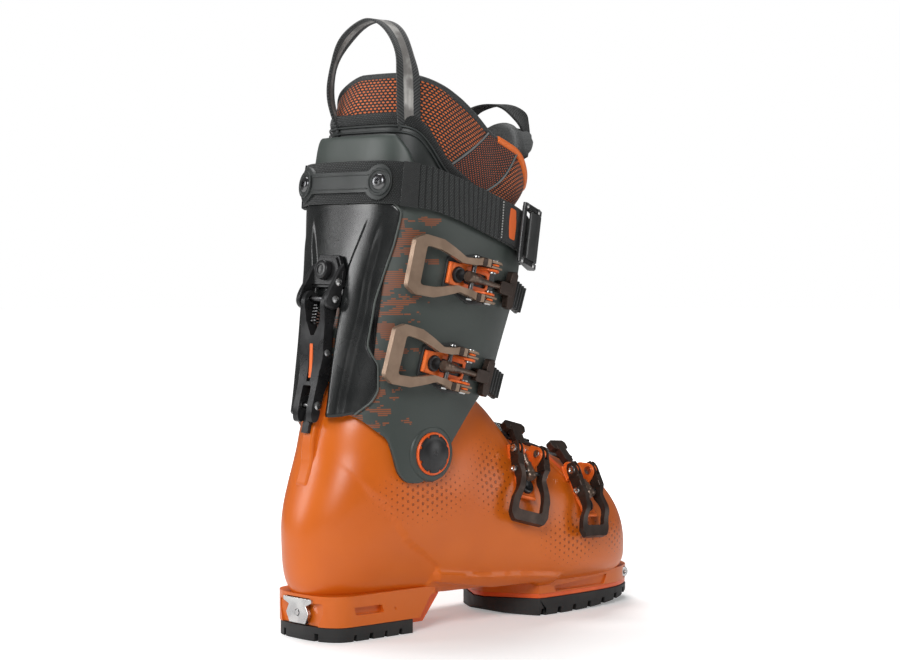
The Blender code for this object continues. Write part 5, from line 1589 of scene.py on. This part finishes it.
def finish_frame_nodes():
    looks = {"heel_tech_insert": "steel", "heel_insert_screw": "steel", "toe_tech_insert": "steel",
             "boot_board": "liner_inside", "walk_lever_pin": "dark_steel", "walk_catch_pin": "steel"}
    for name, finish in looks.items():
        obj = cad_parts[name]
        for slot in obj.material_slots:
            slot.material = FINISHES[finish]
        weld = obj.modifiers.new("weld", "WELD")
        weld.merge_threshold = 0.00002
        edge = obj.modifiers.new("bevel", "BEVEL")
        edge.width = 0.3 * MM
        edge.segments = 2
        edge.limit_method = "ANGLE"
        edge.angle_limit = math.radians(40)


def area_light(name, place, target, size, power):
    data = bpy.data.lights.new(name, "AREA")
    data.shape = "DISK"
    data.size = size
    data.energy = power
    light = bpy.data.objects.new(name, data)
    light.location = place
    light.rotation_euler = (Vector(target) - Vector(place)).to_track_quat("-Z", "Y").to_euler()
    bpy.context.scene.collection.objects.link(light)


CAMERA_PLACE, CAMERA_TURN, CAMERA_DIP, CAMERA_LENS = (-0.951454, -1.165793, 0.2566), 42.0, 1.87, 88.0
WORLD_LIGHT = 0.16


def make_world():
    scene = bpy.context.scene
    world = bpy.data.worlds.new("studio")
    world.use_nodes = True
    tree = world.node_tree
    background = tree.nodes["Background"]
    background.inputs["Color"].default_value = (1.0, 1.0, 1.0, 1.0)
    strength = tree.nodes.new("ShaderNodeMapRange")
    strength.inputs["To Min"].default_value = WORLD_LIGHT
    strength.inputs["To Max"].default_value = 1.0
    tree.links.new(tree.nodes.new("ShaderNodeLightPath").outputs["Is Camera Ray"], strength.inputs["Value"])
    tree.links.new(strength.outputs[0], background.inputs["Strength"])
    scene.world = world
    scene.view_settings.view_transform = "Standard"


def make_floor():
    """Plain pale floor, which glows to the camera away from the boot so that it meets the world."""
    floor = bpy.data.objects.new("floor", prism_mesh("floor",
                                                     lug_outline(-9000, 9000, 9000, 9000, 9000, 30), -20.0,
                                                     -0.05))
    white = Finish("floor_paint", 0.9, colour=(0.9, 0.9, 0.9), Specular_IOR_Level=0.2)
    white.colour(white.blend(white.noise(0.6), (0.89, 0.89, 0.89), (0.91, 0.91, 0.91)))
    x, y, _ = white.axes(white.place)
    away = white.distance(white.math("SUBTRACT", x, 0.1), y)
    camera_ray = white.node("ShaderNodeLightPath").outputs["Is Camera Ray"]
    glow = white.math("MULTIPLY", white.between(away, 0.12, 0.9, 0.25, 1.0), camera_ray)
    white.tree.links.new(glow, white.shader.inputs["Emission Strength"])
    white.shader.inputs["Emission Color"].default_value = (1.0, 1.0, 1.0, 1.0)
    floor.data.materials.append(white.material)
    bpy.context.scene.collection.objects.link(floor)


def make_lights():
    area_light("key", (-1.3, -1.0, 1.1), (0.05, 0.0, 0.15), 0.8, 21.0)
    area_light("fill", (1.3, -1.5, 0.5), (0.1, 0.0, 0.15), 0.9, 4.5)
    area_light("top", (0.2, 0.5, 1.7), (0.1, 0.0, 0.2), 0.9, 20.0)
    area_light("edge", (-1.3, 1.0, 0.7), (0.0, 0.0, 0.25), 0.7, 9.0)


def make_camera():
    camera = bpy.data.objects.new("camera", bpy.data.cameras.new("camera"))
    camera.data.lens = CAMERA_LENS
    camera.data.sensor_width = 36.0
    camera.data.clip_start = 0.05
    turn, dip = math.radians(CAMERA_TURN), math.radians(CAMERA_DIP)
    look = Vector((math.sin(turn) * math.cos(dip), math.cos(turn) * math.cos(dip), -math.sin(dip)))
    camera.location = CAMERA_PLACE
    camera.rotation_euler = look.to_track_quat("-Z", "Y").to_euler()
    bpy.context.scene.collection.objects.link(camera)
    bpy.context.scene.camera = camera


def main():
    make_materials()
    make_lower_shell()
    make_heel_block()
    make_toe_block()
    make_treads()
    make_crest_bands()
    make_crest_straps()
    make_cuff()
    make_spine()
    make_pivots()
    make_liner_upper()
    make_rear_panel()
    make_side_patches()
    make_tongue()
    make_pull_loops()
    make_power_strap()
    make_cam_buckle()
    make_walk_bracket()
    make_walk_lever()
    make_walk_anchor()
    make_walk_spring()
    make_cuff_buckles()
    make_shell_buckles()
    finish_frame_nodes()
    make_world()
    make_floor()
    make_lights()
    make_camera()


main()
